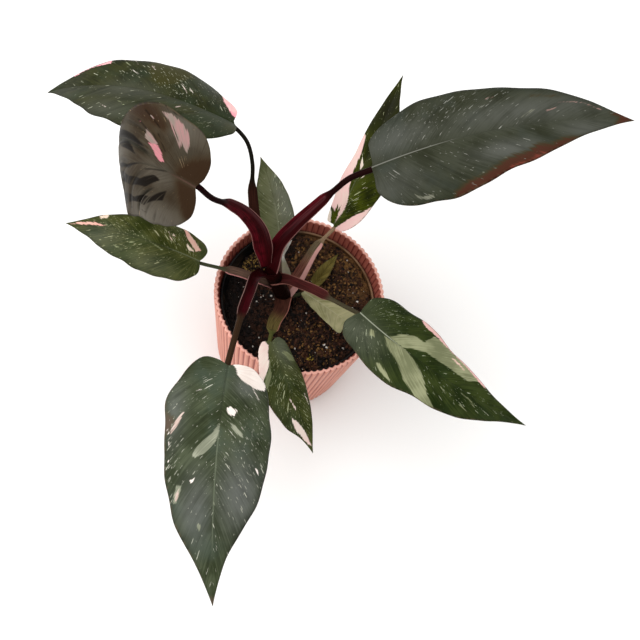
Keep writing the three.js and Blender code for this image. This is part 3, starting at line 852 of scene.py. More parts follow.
@dataclass
class NurseryPot:
    """The thin black pot that the plant grew in, with its rim band and one drain hole."""

    foot: float = 3.3
    rim_height: float = 98.5
    rim_radius: float = 59.6
    band: float = 6.0
    wall: float = 1.2
    foot_radius: float = 50.0
    floor: float = 1.4
    drain: float = 6.0
    rim_step: float = 2.2
    columns: int = 128

    def profile(self) -> Array:
        """The wall's closed section.

        Returns:
            Stops of radius and height, from the drain hole's lower edge round to it again.
        """
        rim, top, foot = self.rim_radius, self.rim_height, self.foot
        under = top - self.band
        inner = rim - self.wall - self.rim_step
        low = self.foot_radius - self.wall
        return np.array([
            (self.drain, foot), (self.foot_radius - 1, foot), (self.foot_radius, foot + 1),
            (rim - self.rim_step, under - 0.6), (rim - 2, under), (rim - 0.2, under), (rim, under + 0.3),
            (rim, top - 0.6), (rim - 0.25, top - 0.15), (rim - 0.8, top), (rim - 1.3, top - 0.1),
            (rim - 1.6, top - 0.5), (inner + 1.6, under + 1), (inner, under - 2),
            (low, foot + self.floor + 1), (low - 1, foot + self.floor),
            (self.drain, foot + self.floor), (self.drain, foot),
        ])

    def place(self, u: Array, v: Array) -> Array:
        """Points round the pot (u) and along its section (v)."""
        radius, height = read(self.profile(), v)
        return around(radius, u * TURN, height)

    def build(self, finish: MouldedFinish) -> None:
        """Makes and dresses the pot."""
        piece = sheet("black_nursery_pot", self.columns, len(self.profile()) - 1, self.place)
        close(piece)
        bpy.ops.object.shade_smooth_by_angle(angle=math.radians(POT_CREASE))
        settle(piece, finish.material(), "nursery_pot", "nursery_pot")


# ------------ soil
class Bit(Enum):
    """Kinds of loose bits on the soil."""

    CHIP = "chip"
    FIBRE = "fibre"
    PERLITE = "perlite"
    MOSS = "moss"


@dataclass(frozen=True)
class Scatter:
    """One kind of bit: how many, how long and flat, and where it lies."""

    bit: Bit
    count: int
    size: Spot
    flatness: Spot
    finish: CrumbFinish
    centre: Spot = (0.0, 0.0)
    spread: float = 1.0


@dataclass
class SoilBed:
    """The crumbly soil surface with the loose bits that lie on it."""

    level: float = 88.0
    radius: float = 55.6
    foot_radius: float = 48.0
    foot: float = 5.2
    lump: float = 1.1
    bank: float = 8.8  # how far the soil is heaped against the far wall
    bank_out: float = 1.9
    bank_towards: Spot = (0.45, 0.893)
    crumbs: tuple[Point, ...] = ((2.4, 3.4, 1), (1.7, 1.7, 2))  # each kind's height, size and seed
    strewn_radius: float = 54.0
    fibre_girth: float = 0.12
    fibre_tilt: float = 0.25
    columns: int = 340
    rows: int = 132
    EDGE, FOOT, MIDDLE = 0.975, 0.98, 0.99  # where the side, the underside and its centre begin

    def height(self, x: Array, y: Array) -> Array:
        """Height of the surface: the solid's broad lumps, a bank and crumbs."""
        broad = np.sin(x * 0.31 + 1.3) * np.cos(y * 0.27 - 0.4) + 0.6 * np.sin(x * 0.13 - y * 0.19)
        reach = np.hypot(x, y)
        away = np.maximum(reach, 1)
        far = self.banked(x / away, y / away) * step(24, 57, reach) * self.bank
        crumbs = sum(tall * (clumps(x, y, size, seed) - 0.5) for tall, size, seed in self.crumbs)
        return self.level + self.lump * broad * (1 - step(50, 57, reach)) + far + crumbs

    def banked(self, x: Array, y: Array) -> Array:
        """Share of the bank in a direction from the middle."""
        return step(0.15, 0.8, x * self.bank_towards[0] + y * self.bank_towards[1])

    def place(self, u: Array, v: Array) -> Array:
        """Points round the plug (u), from the middle of its surface over its side to its underside (v)."""
        angle = u * TURN
        share = np.clip(v / 0.97, 0, 1)
        radius = (self.radius + self.bank_out * self.banked(np.cos(angle), np.sin(angle))) * share
        z = self.height(radius * np.cos(angle), radius * np.sin(angle)) - 0.8 * step(0.96, 1.0, share)
        stops = [v > self.MIDDLE, v > self.FOOT, v > self.EDGE]
        radius = np.select(stops, [0.0, self.foot_radius, self.radius - 0.1], radius)
        z = np.select(stops, [self.foot, self.foot, self.level - 3], z)
        return around(radius, angle, z)

    def shape(self, bit: Bit) -> tuple[Array, Array]:
        """Vertices and triangles of one bit, from a primitive."""
        bpy.ops.object.select_all(action="DESELECT")
        if bit is Bit.FIBRE:
            bpy.ops.mesh.primitive_cylinder_add(vertices=3, radius=0.5, depth=2)
        else:
            bpy.ops.mesh.primitive_ico_sphere_add(subdivisions=1, radius=1)
        model = bpy.context.object
        with editing(model):
            bpy.ops.mesh.quads_convert_to_tris()
        points = np.array([v.co[:] for v in model.data.vertices])
        faces = np.array([p.vertices[:] for p in model.data.polygons])
        bpy.data.objects.remove(model)
        return points, faces

    def crumpled(self, plan: Scatter, shape: Array, size: float, draw: np.random.Generator) -> Array:
        """One bit's vertices about its own middle, ragged, squashed and turned.

        Args:
            plan: What the bit is.
            shape: Vertices of the plain bit.
            size: Its length in millimetres.
            draw: The seeded source of the draws.

        Returns:
            The vertices in millimetres.
        """
        squash = np.array([1.0, draw.uniform(0.55, 0.95), draw.uniform(*plan.flatness)])
        spin = draw.normal(size=(3, 3))
        if plan.bit is Bit.FIBRE:
            squash = np.array([self.fibre_girth, self.fibre_girth, 1.0])
            spin = spin * np.array([[1], [1], [self.fibre_tilt]])
        turn, _ = np.linalg.qr(spin)
        ragged = shape * (1 + draw.uniform(-0.25, 0.25, size=(len(shape), 1)))
        return (ragged * squash * size / 2) @ turn.T

    def scatter(self, plan: Scatter, draw: np.random.Generator) -> None:
        """Copies one kind of bit over the surface, each turned and squashed in its own way.

        Args:
            plan: What to scatter.
            draw: The seeded source of the draws.
        """
        shape, faces = self.shape(plan.bit)
        points, tints = [], []
        for _ in range(plan.count):
            angle = draw.uniform(0, TURN)
            reach = self.strewn_radius * plan.spread * math.sqrt(draw.uniform())
            x = plan.centre[0] + reach * math.cos(angle)
            y = plan.centre[1] + reach * math.sin(angle)
            if math.hypot(x, y) > self.strewn_radius + 0.2:
                continue
            size = draw.uniform(*plan.size)
            body = self.crumpled(plan, shape, size, draw)
            base = self.height(np.array([x]), np.array([y]))[0]
            points.append(body + np.array([x, y, base + 0.18 * size]))
            tints.append(np.full(len(shape), draw.uniform()))
        offsets = np.arange(len(points)) * len(shape)
        every = (faces[None] + offsets[:, None, None]).reshape(-1, 3)
        mesh = bpy.data.meshes.new("loose_" + plan.bit.value)
        mesh.from_pydata((np.vstack(points) * MM).tolist(), [], every.tolist())
        piece = placed(mesh.name, mesh)
        with editing(piece):
            bpy.ops.mesh.normals_make_consistent(inside=False)
        paint(piece, "tint", np.concatenate(tints))
        settle(piece, plan.finish.material(), "soil")

    def build(self, finish: SoilFinish, plans: Sequence[Scatter]) -> None:
        """Makes the plug and everything loose on it."""
        piece = sheet("peat_surface", self.columns, self.rows, self.place)
        close(piece)
        settle(piece, finish.material(), "soil", "soil")
        draw = np.random.default_rng(SEED)
        for plan in plans:
            self.scatter(plan, draw)


# ------------ tubes
def stations(route: Sequence[Point], shares: Array, facing: Point) -> tuple[Array, Array, Array, Array]:
    """Frames along a smooth route.

    Args:
        route: The route's knots.
        shares: Where along its length the frames stand.
        facing: The direction that "up" keeps closest to.

    Returns:
        Points, tangents, upward and sideways directions.
    """
    ends = np.clip(np.stack([shares - 1e-3, shares + 1e-3]), 0, 1)
    point = even_curve(route, shares)
    tangent = unit(even_curve(route, ends[1]) - even_curve(route, ends[0]))
    toward = np.asarray(facing, float)
    up = unit(toward - tangent * (tangent @ toward)[:, None])
    return point, tangent, up, np.cross(up, tangent)


@dataclass
class Stem:
    """The leaning stem, ringed where leaves left it, with its thick roots in the soil."""

    route: tuple[Point, ...] = ((-4, -1, 46), (-6, -1, 66), (-9, -2, 88), (-19, -5, 120), (-28, -8, 146))
    radii: tuple[float, ...] = (4.5, 6.2, 6.4, 6.0, 5.2)
    root_start: Point = (-4, -1, 52)
    root_count: int = 5
    root_reach: float = 38.0
    root_drop: float = 34.0
    root_radius: float = 1.7
    root_taper: float = 0.8
    facing: Point = (0.3, 1, 0.2)
    columns: int = 90
    rows: int = 36
    root_columns: int = 24
    root_rows: int = 12

    def place(self, u: Array, v: Array) -> Array:
        """Points along the stem (u) and round it (v)."""
        point, _, up, side = stations(self.route, u, self.facing)
        radius = np.interp(u, np.linspace(0, 1, len(self.radii)), self.radii)
        joints = np.maximum(0, np.cos((u * 9 + 0.15) * TURN)) ** 12
        radius = radius * (0.96 + 0.05 * joints) + 0.14 * np.sin(v * 14 * np.pi + 9 * u)
        radius = radius * (1 - 0.75 * step(0.9, 1.0, u))
        angle = v * TURN
        return beside(point, side, up, radius * np.cos(angle), radius * np.sin(angle))

    def root(self, number: int) -> Piece:
        """One root, from the stem out and down into the soil."""
        angle = number / self.root_count * TURN + 0.5
        start = np.array(self.root_start) - (0, 0, number)
        out = np.array([math.cos(angle), math.sin(angle), 0])
        knee = start + out * self.root_reach * 0.5 - (0, 0, 6)
        tip = start + out * self.root_reach - (0, 0, self.root_drop)

        def place(u: Array, v: Array) -> Array:
            """Points along the root and round it."""
            point, _, up, side = stations((start, knee, tip), u, self.facing)
            radius = self.root_radius - self.root_taper * u
            turn = v * TURN
            return beside(point, side, up, radius * np.cos(turn), radius * np.sin(turn))

        piece = sheet(f"root_{number}", self.root_columns, self.root_rows, place)
        paint(piece, "skin", 0, 1, 0, 0)
        close(piece)
        return piece

    def build(self, finish: StalkFinish) -> None:
        """Makes the stem with its roots as one piece."""
        piece = sheet("leaning_stem", self.columns, self.rows, self.place)
        u = np.tile(np.linspace(0, 1, self.columns + 1), self.rows + 1)
        paint(piece, "skin", 0, 1 - step(0.84, 0.93, u), 0, 1)
        close(piece)
        roots = [self.root(number) for number in range(self.root_count)]
        lone(piece)
        for root in roots:
            root.select_set(True)
        bpy.ops.object.join()
        settle(piece, finish.material(), "stem", "stem")


@dataclass
class Bract:
    """The papery bract that hangs beside the stem."""

    route: tuple[Point, ...] = (
        (-14, 2, 108), (-17, 6.5, 115), (-21, 9.5, 119), (-25, 14, 123), (-25, 20, 126), (-22, 28, 129))
    half_widths: tuple[float, ...] = (2.2, 4.2, 4.2, 2.9, 2.4, 0.3)
    thickness: float = 0.25
    cupping: float = 0.5
    crinkle: float = 0.25
    facing: Point = (0.5, -0.5, 0.7)
    columns: int = 48
    rows: int = 24

    def place(self, u: Array, v: Array) -> Array:
        """Points along the bract (u) and round its thin section (v)."""
        point, _, up, side = stations(self.route, u, self.facing)
        half = np.interp(u, np.linspace(0, 1, len(self.half_widths)), self.half_widths)
        angle = v * TURN
        cup = self.cupping * half * np.cos(angle) ** 2 + self.crinkle * np.sin(u * 20) * np.cos(angle)
        return beside(point, side, up, half * np.cos(angle), self.thickness * np.sin(angle) + cup)

    def build(self, finish: PaperFinish) -> None:
        """Makes and dresses the bract."""
        piece = sheet("papery_bract", self.columns, self.rows, self.place)
        close(piece)
        settle(piece, finish.material(), "bract", "bract")


# ------------ leaves
class Mark(Enum):
    """Colours of a blade's sharp-edged markings, by the channel that stores them."""

    PINK = 0
    CREAM = 1
    SAGE = 2
    RUST = 3
    # painted shade in the folds of the new leaf
    SHADE = 4


@dataclass(frozen=True)
class Haze:
    """A soft patch where sheen and shade are painted, and also one where flecks crowd: centre and reach as
    shares along and across, and strength.
    """

    centre: Spot
    reach: Spot
    strength: float


@dataclass(frozen=True)
class LeafForm:
    """Sizes of one leaf.

    The blade starts at its base in the direction of its bearing, and climbs there. Towards its tip the midrib
    turns sideways and droops, which ends at the share "settle", while the blade is banked and twists about
    it. Each half folds up, curls down again and follows its outline: where its belly is, then its widths at
    60 and 82 percent. The wave has a height, a count and a phase. The petiole follows its route, and its
    sheath ends at a share of it. "Slit" and "lit" are angles round the petiole.
    """

    base: Point
    bearing: float
    climb: float
    turn: float
    droop: float
    bank: float
    twist: float
    fold: float
    curl: float
    length: float
    left: float
    right: float
    lobe: float
    left_outline: tuple[float, float, float] | None
    right_outline: tuple[float, float, float] | None
    wave: tuple[float, float, float]
    route: tuple[Point, ...]
    sheath_end: float
    sheath_base: float
    sheath_tip: float
    thin: float
    settle: float = 1.0
    veins: int = 10
    relief: float = 0.15  # depth of the sunken side veins
    crease_from: float = 0.02  # share of the length at which they begin
    sweep: float = 0.25  # how far they lean towards the tip
    channel: float = 1.42  # depth of the sheath's channel, over its half height
    clasp: float = 0.1  # how much wider the sheath is where it clasps the stem
    rims: Spot = (0.0, 0.0)  # reach of its pale rims, left and right
    rim_from: float = -1.0
    right_lobe: float | None = None
    shoulders: Spot = (1.0, 1.0)  # fullness of each half near its base
    crease_power: int = 5  # sharpness of the side veins
    facing: Point | None = None
    uneven: float = 1.0  # how much the margin wavers
    slit: Spot | None = None
    # angle round the petiole of its lit side, where a highlight is painted
    lit: float = 1.07


@dataclass
class Chart:
    """Where each vertex of a blade lies."""

    station: Array  # share of the margin's length, from base to tip
    share: Array  # share of the way from the midrib to the margin
    hand: Array  # 1 on the left half and -1 on the right one
    beneath: Array
    along: Array  # share of the blade's length
    across: Array  # share of the half's width, left positive
    half: Array  # that width
    vein: Array  # length of the side vein through it

    def creases(self, form: LeafForm) -> Array:
        """How close each vertex is to one of the sunken side veins, from 0 to 1."""
        drift = 0.16 * np.sin(9 * self.station + 2 * self.hand)
        drift = drift + 0.05 * np.sin(7 * self.share + 20 * self.station)
        wave = np.cos(TURN * (form.veins * self.station + 0.2 * self.hand + drift))
        line = np.maximum(0, wave) ** form.crease_power * (0.7 + 0.3 * np.sin(31 * self.station + self.hand))
        reach = step(0.04, 0.35, self.share) * (1 - step(0.8, 1.0, self.share))
        return line * reach * step(form.crease_from, form.crease_from + 0.12, self.along)


class Blade:
    """Geometry of one blade: a drooping midrib with a curved, folded half on each side."""

    KNOTS = 40
    FAN, BEND_ALONG, BEND_ACROSS = 0.1, 0.36, 0.52  # how the side veins leave the midrib and bend
    BLUNT = ((0, 0), (0.02, 0.26), (0.18, 0.5), (0.45, 0.72), (0.8, 0.92))  # margin of a blade cut straight
    HALF_THICKNESS = 0.34
    TIP_THINNING = 0.8
    RIB_GROOVE, RIB_KEEL = 0.4, 0.55  # depth of the midrib above and height below
    RIB_EASE = 1.2  # millimetres beside the midrib over which the fold's normals turn
    WOBBLES = ((0.011, 27, 1), (0.007, 47, -1))  # the margin's unevenness: height, frequency, phase's sign
    CROWDING = 1.35  # gathers the rows towards the midrib

    def __init__(self, form: LeafForm) -> None:
        """Walks the midrib from base to tip."""
        self.form = form
        shares = np.linspace(0, 1, self.KNOTS + 1)
        middles = (shares[1:] + shares[:-1]) / 2
        steps = self.direction(middles) * form.length / self.KNOTS
        self.knots = np.vstack([np.zeros(3), np.cumsum(steps, axis=0)])
        self.tangents = self.direction(shares)
        turned = np.radians(form.turn * shares)
        level = np.stack([-np.sin(turned), np.cos(turned), 0 * turned], -1)
        roll = np.radians(form.bank + form.twist * shares)[:, None]
        self.sides = np.cos(roll) * level + np.sin(roll) * np.cross(self.tangents, level)
        self.ups = np.cross(self.tangents, self.sides)

    def direction(self, share: Array) -> Array:
        """The midrib's direction at shares of its length."""
        form = self.form
        done = np.minimum(share / form.settle, 1)
        ease = 0.5 * done + 0.5 * done**2 * (3 - 2 * done)
        turned, climb = np.radians(form.turn * share), np.radians(form.climb - form.droop * ease)
        return np.stack([np.cos(climb) * np.cos(turned), np.cos(climb) * np.sin(turned), np.sin(climb)], -1)

    def between(self, table: Array, share: Array) -> Array:
        """A table of the midrib's knots, read between them."""
        place = share * self.KNOTS
        low = np.minimum(place.astype(int), self.KNOTS - 1)
        mix = (place - low)[:, None]
        return table[low] * (1 - mix) + table[low + 1] * mix

    def turned(self, vectors: Array) -> Array:
        """Vectors of the blade's own space turned to its bearing."""
        bearing = math.radians(self.form.bearing)
        c, s = math.cos(bearing), math.sin(bearing)
        x, y, z = vectors.T
        return np.stack([c * x - s * y, s * x + c * y, z], -1)

    def surface(self, along: Array, across: Array) -> tuple[Array, Array]:
        """The blade's middle surface.

        Args:
            along: Shares of the length, past 0 and 1 for what overhangs.
            across: Signed distances from the midrib, left positive.

        Returns:
            Points and upward normals.
        """
        form = self.form
        share = np.clip(along, 0, 1)
        side, up, tangent = (unit(self.between(t, share)) for t in (self.sides, self.ups, self.tangents))
        hand, reach = np.sign(across), np.abs(across)
        half = np.where(across >= 0, form.left, form.right)
        fold = math.radians(form.fold)
        rate = math.radians(form.curl) / half
        slope = fold - rate * reach
        out = (math.sin(fold) - np.sin(slope)) / rate
        swell, count, phase = form.wave
        ripple = swell * (reach / half) ** 2 * np.sin(count * TURN * along + phase + hand)
        rise = (np.cos(slope) - math.cos(fold)) / rate + ripple
        point = self.between(self.knots, share) + tangent * ((along - share) * form.length)[:, None]
        point = point + side * (hand * out)[:, None] + up * rise[:, None]
        lean = slope * np.clip(reach / self.RIB_EASE, 0, 1)
        normal = up * np.cos(lean)[:, None] - side * (hand * np.sin(lean))[:, None]
        return self.turned(point) + np.array(form.base), self.turned(normal)

    def margin(self, hand: int, shares: Array) -> Array:
        """One half's outline, as shares along and across, at even shares of its length."""
        form = self.form
        outline = form.left_outline if hand > 0 else form.right_outline
        full = form.shoulders[0 if hand > 0 else 1]
        knots = (*self.BLUNT, (1.07 * full, 1.02), (1.04 * full, 0.5), (1, 0))
        if outline:
            belly, middle, late = outline
            lobe = form.lobe if hand > 0 or form.right_lobe is None else form.right_lobe
            knots = (
                (0, 0), (-lobe, 0.22 * full), (-0.75 * lobe, 0.55 * full), (0.08, 0.88 * full), (belly, 1),
                (0.6, middle), (0.82, late), (0.94, 0.28 * late), (1, 0),
            )
        half = form.left if hand > 0 else form.right
        edge = even_curve(knots, shares, (form.length, half))
        phase = 5 * hand + form.length
        wobble = sum(high * np.sin(often * shares + sign * phase) for high, often, sign in self.WOBBLES)
        edge[:, 1] *= 1 + form.uneven * wobble
        return edge

    def chart(self, u: Array, v: Array) -> Chart:
        """Places of a wrapped grid on the blade.

        Args:
            u: From base to tip, by the margin's length.
            v: Round the blade: right margin, midrib and left margin on top, then back underneath.

        Returns:
            Where each vertex lies.
        """
        form = self.form
        beneath = v > 0.5
        signed = np.where(beneath, 3 - 4 * v, 4 * v - 1)
        hand = np.where(signed >= 0, 1.0, -1.0)
        share = np.abs(signed) ** self.CROWDING
        edges = {sign: self.margin(sign, u) for sign in (1, -1)}
        sweep = form.sweep * np.sin(np.pi * np.clip(edges[1][:, 0], 0, 1)) ** 0.7
        foot = np.maximum(self.FAN * u, edges[1][:, 0] - sweep)
        edge = np.where(hand[:, None] > 0, edges[1], edges[-1])
        near, middle, far = (1 - share) ** 2, 2 * share * (1 - share), share**2
        bend = foot + (edge[:, 0] - foot) * self.BEND_ALONG
        along = near * foot + middle * bend + far * edge[:, 0]
        across = (middle * self.BEND_ACROSS + far) * edge[:, 1] * hand
        half = np.where(hand > 0, form.left, form.right)
        vein = np.hypot((edge[:, 0] - foot) * form.length, edge[:, 1] * half)
        return Chart(u, share, hand, beneath, along, across, half, vein)

    def shell(self, chart: Chart) -> Array:
        """The blade's two faces, with its midrib, sunken side veins and thinned margin.

        Args:
            chart: Where the vertices lie.

        Returns:
            Their points.
        """
        point, normal = self.surface(chart.along, chart.across * chart.half)
        ends = step(0, 0.012, chart.station) * step(1, 0.988, chart.station)
        edge = np.sqrt(np.clip(1 - chart.share**9, 0, 1)) * ends
        thick = self.HALF_THICKNESS * np.where(chart.beneath, -1.0, 1.0)
        taper = 1 - self.TIP_THINNING * np.clip(chart.along, 0, 1)
        rib = np.exp(-((np.abs(chart.across) * chart.half) ** 2)) * taper
        relief = -self.form.relief * chart.creases(self.form)
        keel = -np.where(chart.beneath, self.RIB_KEEL, self.RIB_GROOVE) * rib
        return point + normal * ((thick + keel + relief) * edge)[:, None]


@dataclass
class Leaf:
    """One leaf: its blade with markings, and the sheathed petiole that carries it."""

    name: str
    form: LeafForm
    finish: LeafFinish
    stalk: StalkFinish
    slots: tuple[str, str]
    sectors: dict[Mark, tuple[Outline, ...]]
    hazes: tuple[Haze, ...]
    flecked: tuple[Haze, ...]
    columns: int = 132
    rows: int = 128
    stalk_columns: int = 84
    stalk_rows: int = 36
    FIELD = 12.0  # millimetres over which a marking's stored distance runs from 0 to 1
    STREAK = 0.2  # half a streak's width
    FEWEST_FLECKS = 0.12
    RIB_UNIT = 10.0  # millimetres per unit of the stored distance from the midrib
    HALVES_APART = 400.0  # keeps the vein coordinates of the two halves from meeting
    SHEATH_FLATNESS = 0.62  # depth of a sheath over its half width
    SHEATH_LEAN = 0.8  # how far a petiole's channel faces the stem
    SEATS = ((0.0, 0.55), (5.0, 0.35))  # where the petiole lies under the midrib: how far in, and how deep

    def blade(self) -> None:
        """Makes and dresses the blade."""
        blade = Blade(self.form)
        charts: list[Chart] = []

        def place(u: Array, v: Array) -> Array:
            """Points of both faces, whose chart is kept for the markings."""
            charts.append(blade.chart(u, v))
            return blade.shell(charts[0])

        piece = sheet("leaf_" + self.name, self.columns, self.rows, place)
        self.mark(piece, charts[0])
        close(piece)
        settle(piece, self.finish.material(), self.slots[0], "blade_" + self.name)

    def mark(self, piece: Piece, chart: Chart) -> None:
        """Stores the blade's markings and its vein coordinates.

        Args:
            piece: The blade, before its seams are merged.
            chart: Where its vertices lie.
        """
        fields = np.zeros((len(Mark), len(chart.along)))
        for mark, outlines in self.sectors.items():
            for outline in outlines:
                fields[mark.value] = np.maximum(fields[mark.value], self.marking(outline, chart))
        paint(piece, "marks", *fields[: Mark.SHADE.value])
        # soft patches of painted sheen, which on the splashed leaf paint shade
        sheen_and_shade = self.cloud(self.hazes, chart)
        fleck = np.maximum(self.FEWEST_FLECKS, self.cloud(self.flecked, chart))
        paint(piece, "tones", sheen_and_shade, fleck, chart.creases(self.form), chart.beneath)
        from_rib = np.abs(chart.across) * chart.half / self.RIB_UNIT
        paint(piece, "site", chart.along, from_rib, fields[Mark.SHADE.value], chart.share)
        run = chart.station * 1.25 * self.form.length + self.HALVES_APART * (chart.hand > 0)
        veins = np.stack([run, chart.share * chart.vein, 0 * chart.share], -1)
        layer = piece.data.attributes.new("veins", "FLOAT_VECTOR", "POINT")
        layer.data.foreach_set("vector", veins.astype(np.float32).ravel())

    def marking(self, outline: Outline, chart: Chart) -> Array:
        """How far every vertex lies inside one marking.

        Args:
            outline: Its corners, as shares along the midrib and across a half, left positive. Two corners are
                the ends of a thin streak.
            chart: Where the vertices lie.

        Returns:
            Distances scaled to run from 0 to 1, and 0.5 on the outline.
        """
        left = sum(y for _, y in outline) > 0
        half = self.form.left if left else self.form.right
        distance = inside(outline, chart.along, chart.across, (self.form.length, half))
        grown = distance + (self.STREAK if len(outline) == 2 else 0)
        return np.clip(0.5 + grown / self.FIELD, 0, 1)

    def cloud(self, hazes: Sequence[Haze], chart: Chart) -> Array:
        """The strongest of some soft patches at every vertex."""
        field = np.zeros(len(chart.along))
        for haze in hazes:
            x = (chart.along - haze.centre[0]) / haze.reach[0]
            y = (chart.across - haze.centre[1]) / haze.reach[1]
            field = np.maximum(field, haze.strength * np.exp(-(x**2) - y**2))
        return field

    def petiole(self) -> None:
        """Makes and dresses the petiole."""
        form = self.form
        inwards, depths = np.array(self.SEATS).T
        rib, up = Blade(form).surface(inwards / form.length, np.zeros(2))
        seats = rib - up[:1] * (depths + form.thin)[:, None]
        route = (*form.route, *map(tuple, seats))
        outward = np.array(form.base) - np.array(form.route[0])
        outward[2] = 0
        facing = form.facing or np.array([0, 0, 1]) - self.SHEATH_LEAN * unit(outward)

        def place(u: Array, v: Array) -> Array:
            """Points along the petiole and round it."""
            point, _, rise, side = stations(route, u, facing)
            inner = self.sheathed(u)
            widening = form.sheath_tip - form.sheath_base
            width = form.sheath_base + widening * np.minimum(u / form.sheath_end, 1)
            width = width * (1 + form.clasp * (1 - step(0, 0.2, u)))
            depth = np.maximum(self.SHEATH_FLATNESS * width, form.thin)
            taper = 1 - 0.3 * step(0.96, 1, u)
            half = form.thin * taper * (1 - inner) + width * inner
            tall = form.thin * taper * (1 - inner) + depth * inner
            angle = v * TURN
            lift = np.where(np.sin(angle) > 0, 1 - form.channel * inner, 1)
            up_by = tall * np.sin(angle) * lift + 0.3 * tall * inner * np.cos(angle) ** 2
            return beside(point, side, rise, half * np.cos(angle), up_by)

        piece = sheet("stalk_" + self.name, self.stalk_columns, self.stalk_rows, place)
        self.skin(piece)
        close(piece)
        settle(piece, self.stalk.material(), self.slots[1], "petiole_" + self.name)

    def sheathed(self, u: Array) -> Array:
        """How far the petiole's wings are open at shares of its length."""
        return 1 - step(self.form.sheath_end - 0.08, self.form.sheath_end + 0.02, u)

    def skin(self, piece: Piece) -> None:
        """Stores where the sheath's rims, its channel or slit, and its lit side are."""
        counts = (self.stalk_columns, self.stalk_rows)
        u, v = (grid.ravel() for grid in np.meshgrid(*(np.linspace(0, 1, count + 1) for count in counts)))
        angle = v * TURN
        left, right = self.form.rims
        reach = np.where(np.cos(angle) > 0, left, right)
        rim = np.clip(0.5 + 4 * (np.abs(np.cos(angle)) - 1 + reach), 0, 1) * (reach > 0) * self.sheathed(u)
        rim = rim * step(self.form.rim_from, self.form.rim_from + 0.12, u)
        channel = step(-0.05, 0.25, np.sin(angle)) * (self.form.channel > 1.1)
        # the lit side, where the finish paints a highlight
        lit_side = np.clip(np.cos(angle - self.form.lit), 0, 1) ** 3
        if self.form.slit:
            channel = self.slit_lips(u, angle)
        paint(piece, "skin", rim, self.sheathed(u), channel, lit_side)

    def slit_lips(self, u: Array, angle: Array) -> Array:
        """The two lips of a nearly closed sheath's slit, which meet where the sheath ends. The maroon finish
        paints a highlight along them.
        """
        near, far = self.form.slit
        top = self.form.sheath_end - 0.05
        lips = 1 - np.minimum(np.abs(angle - near), np.abs(angle - far)) / 0.13
        bridge = (1 - np.abs(u - top) / 0.018) * (angle > near) * (angle < far)
        return np.maximum(np.clip(lips, 0, 1) * step(0.16, 0.4, u) * (u < top + 0.01), np.clip(bridge, 0, 1))

    def build(self) -> None:
        """Makes the whole leaf."""
        self.blade()
        self.petiole()


# ------------ the plant's own leaves
SLATE_SLOTS = ("leaf_slate", "petiole_maroon")
GREEN_SLOTS = ("leaf_green", "petiole_olive")
# The maroon skin's inner colour is a painted highlight along the lips of the sheath's slit.
MAROON = StalkFinish(
    name="maroon_stalk", skin=(0.03, 0.0022, 0.003), inner=(0.13, 0.045, 0.05), rim=(0.22, 0.1, 0.09),
    bare=(0.011, 0.002, 0.002), glow=(0.14, 0.006, 0.014), highlight_share=0.65,
)
CRIMSON = StalkFinish(
    name="crimson_stalk", skin=(0.02, 0.002, 0.002), inner=(0.022, 0.0015, 0.002), rim=(0.28, 0.16, 0.14),
    bare=(0.035, 0.018, 0.009), highlight_share=0.15,
)
OLIVE = StalkFinish(
    name="olive_stalk", skin=(0.22, 0.085, 0.06), inner=(0.22, 0.085, 0.06), rim=(0.58, 0.31, 0.28),
    bare=(0.3, 0.2, 0.12), upper=(0.17, 0.13, 0.075),
)
LEATHERY = StalkFinish(
    name="leathery_stalk", skin=(0.075, 0.027, 0.018), inner=(0.075, 0.027, 0.018), rim=(0.28, 0.11, 0.085),
    bare=(0.07, 0.075, 0.02), upper=(0.12, 0.09, 0.03),
)
BROWN = StalkFinish(
    name="brown_stalk", skin=(0.08, 0.035, 0.028), inner=(0.12, 0.07, 0.05), rim=(0.48, 0.2, 0.19),
    bare=(0.05, 0.055, 0.028),
)
RUSSET = StalkFinish(
    name="russet_stalk", skin=(0.03, 0.008, 0.007), inner=(0.058, 0.014, 0.012), rim=(0.24, 0.1, 0.08),
    bare=(0.06, 0.05, 0.028), highlight_share=0.1,
)
STEM_SKIN = StalkFinish(
    name="stem_skin", skin=(0.009, 0.003, 0.002), inner=(0.009, 0.003, 0.002), rim=(0.1, 0.05, 0.04),
    bare=(0.022, 0.002, 0.002),
)
BLACK = StalkFinish(
    name="black_stalk", skin=(0.022, 0.01, 0.006), inner=(0.034, 0.011, 0.007), rim=(0.12, 0.08, 0.05),
    bare=(0.01, 0.009, 0.006),
)

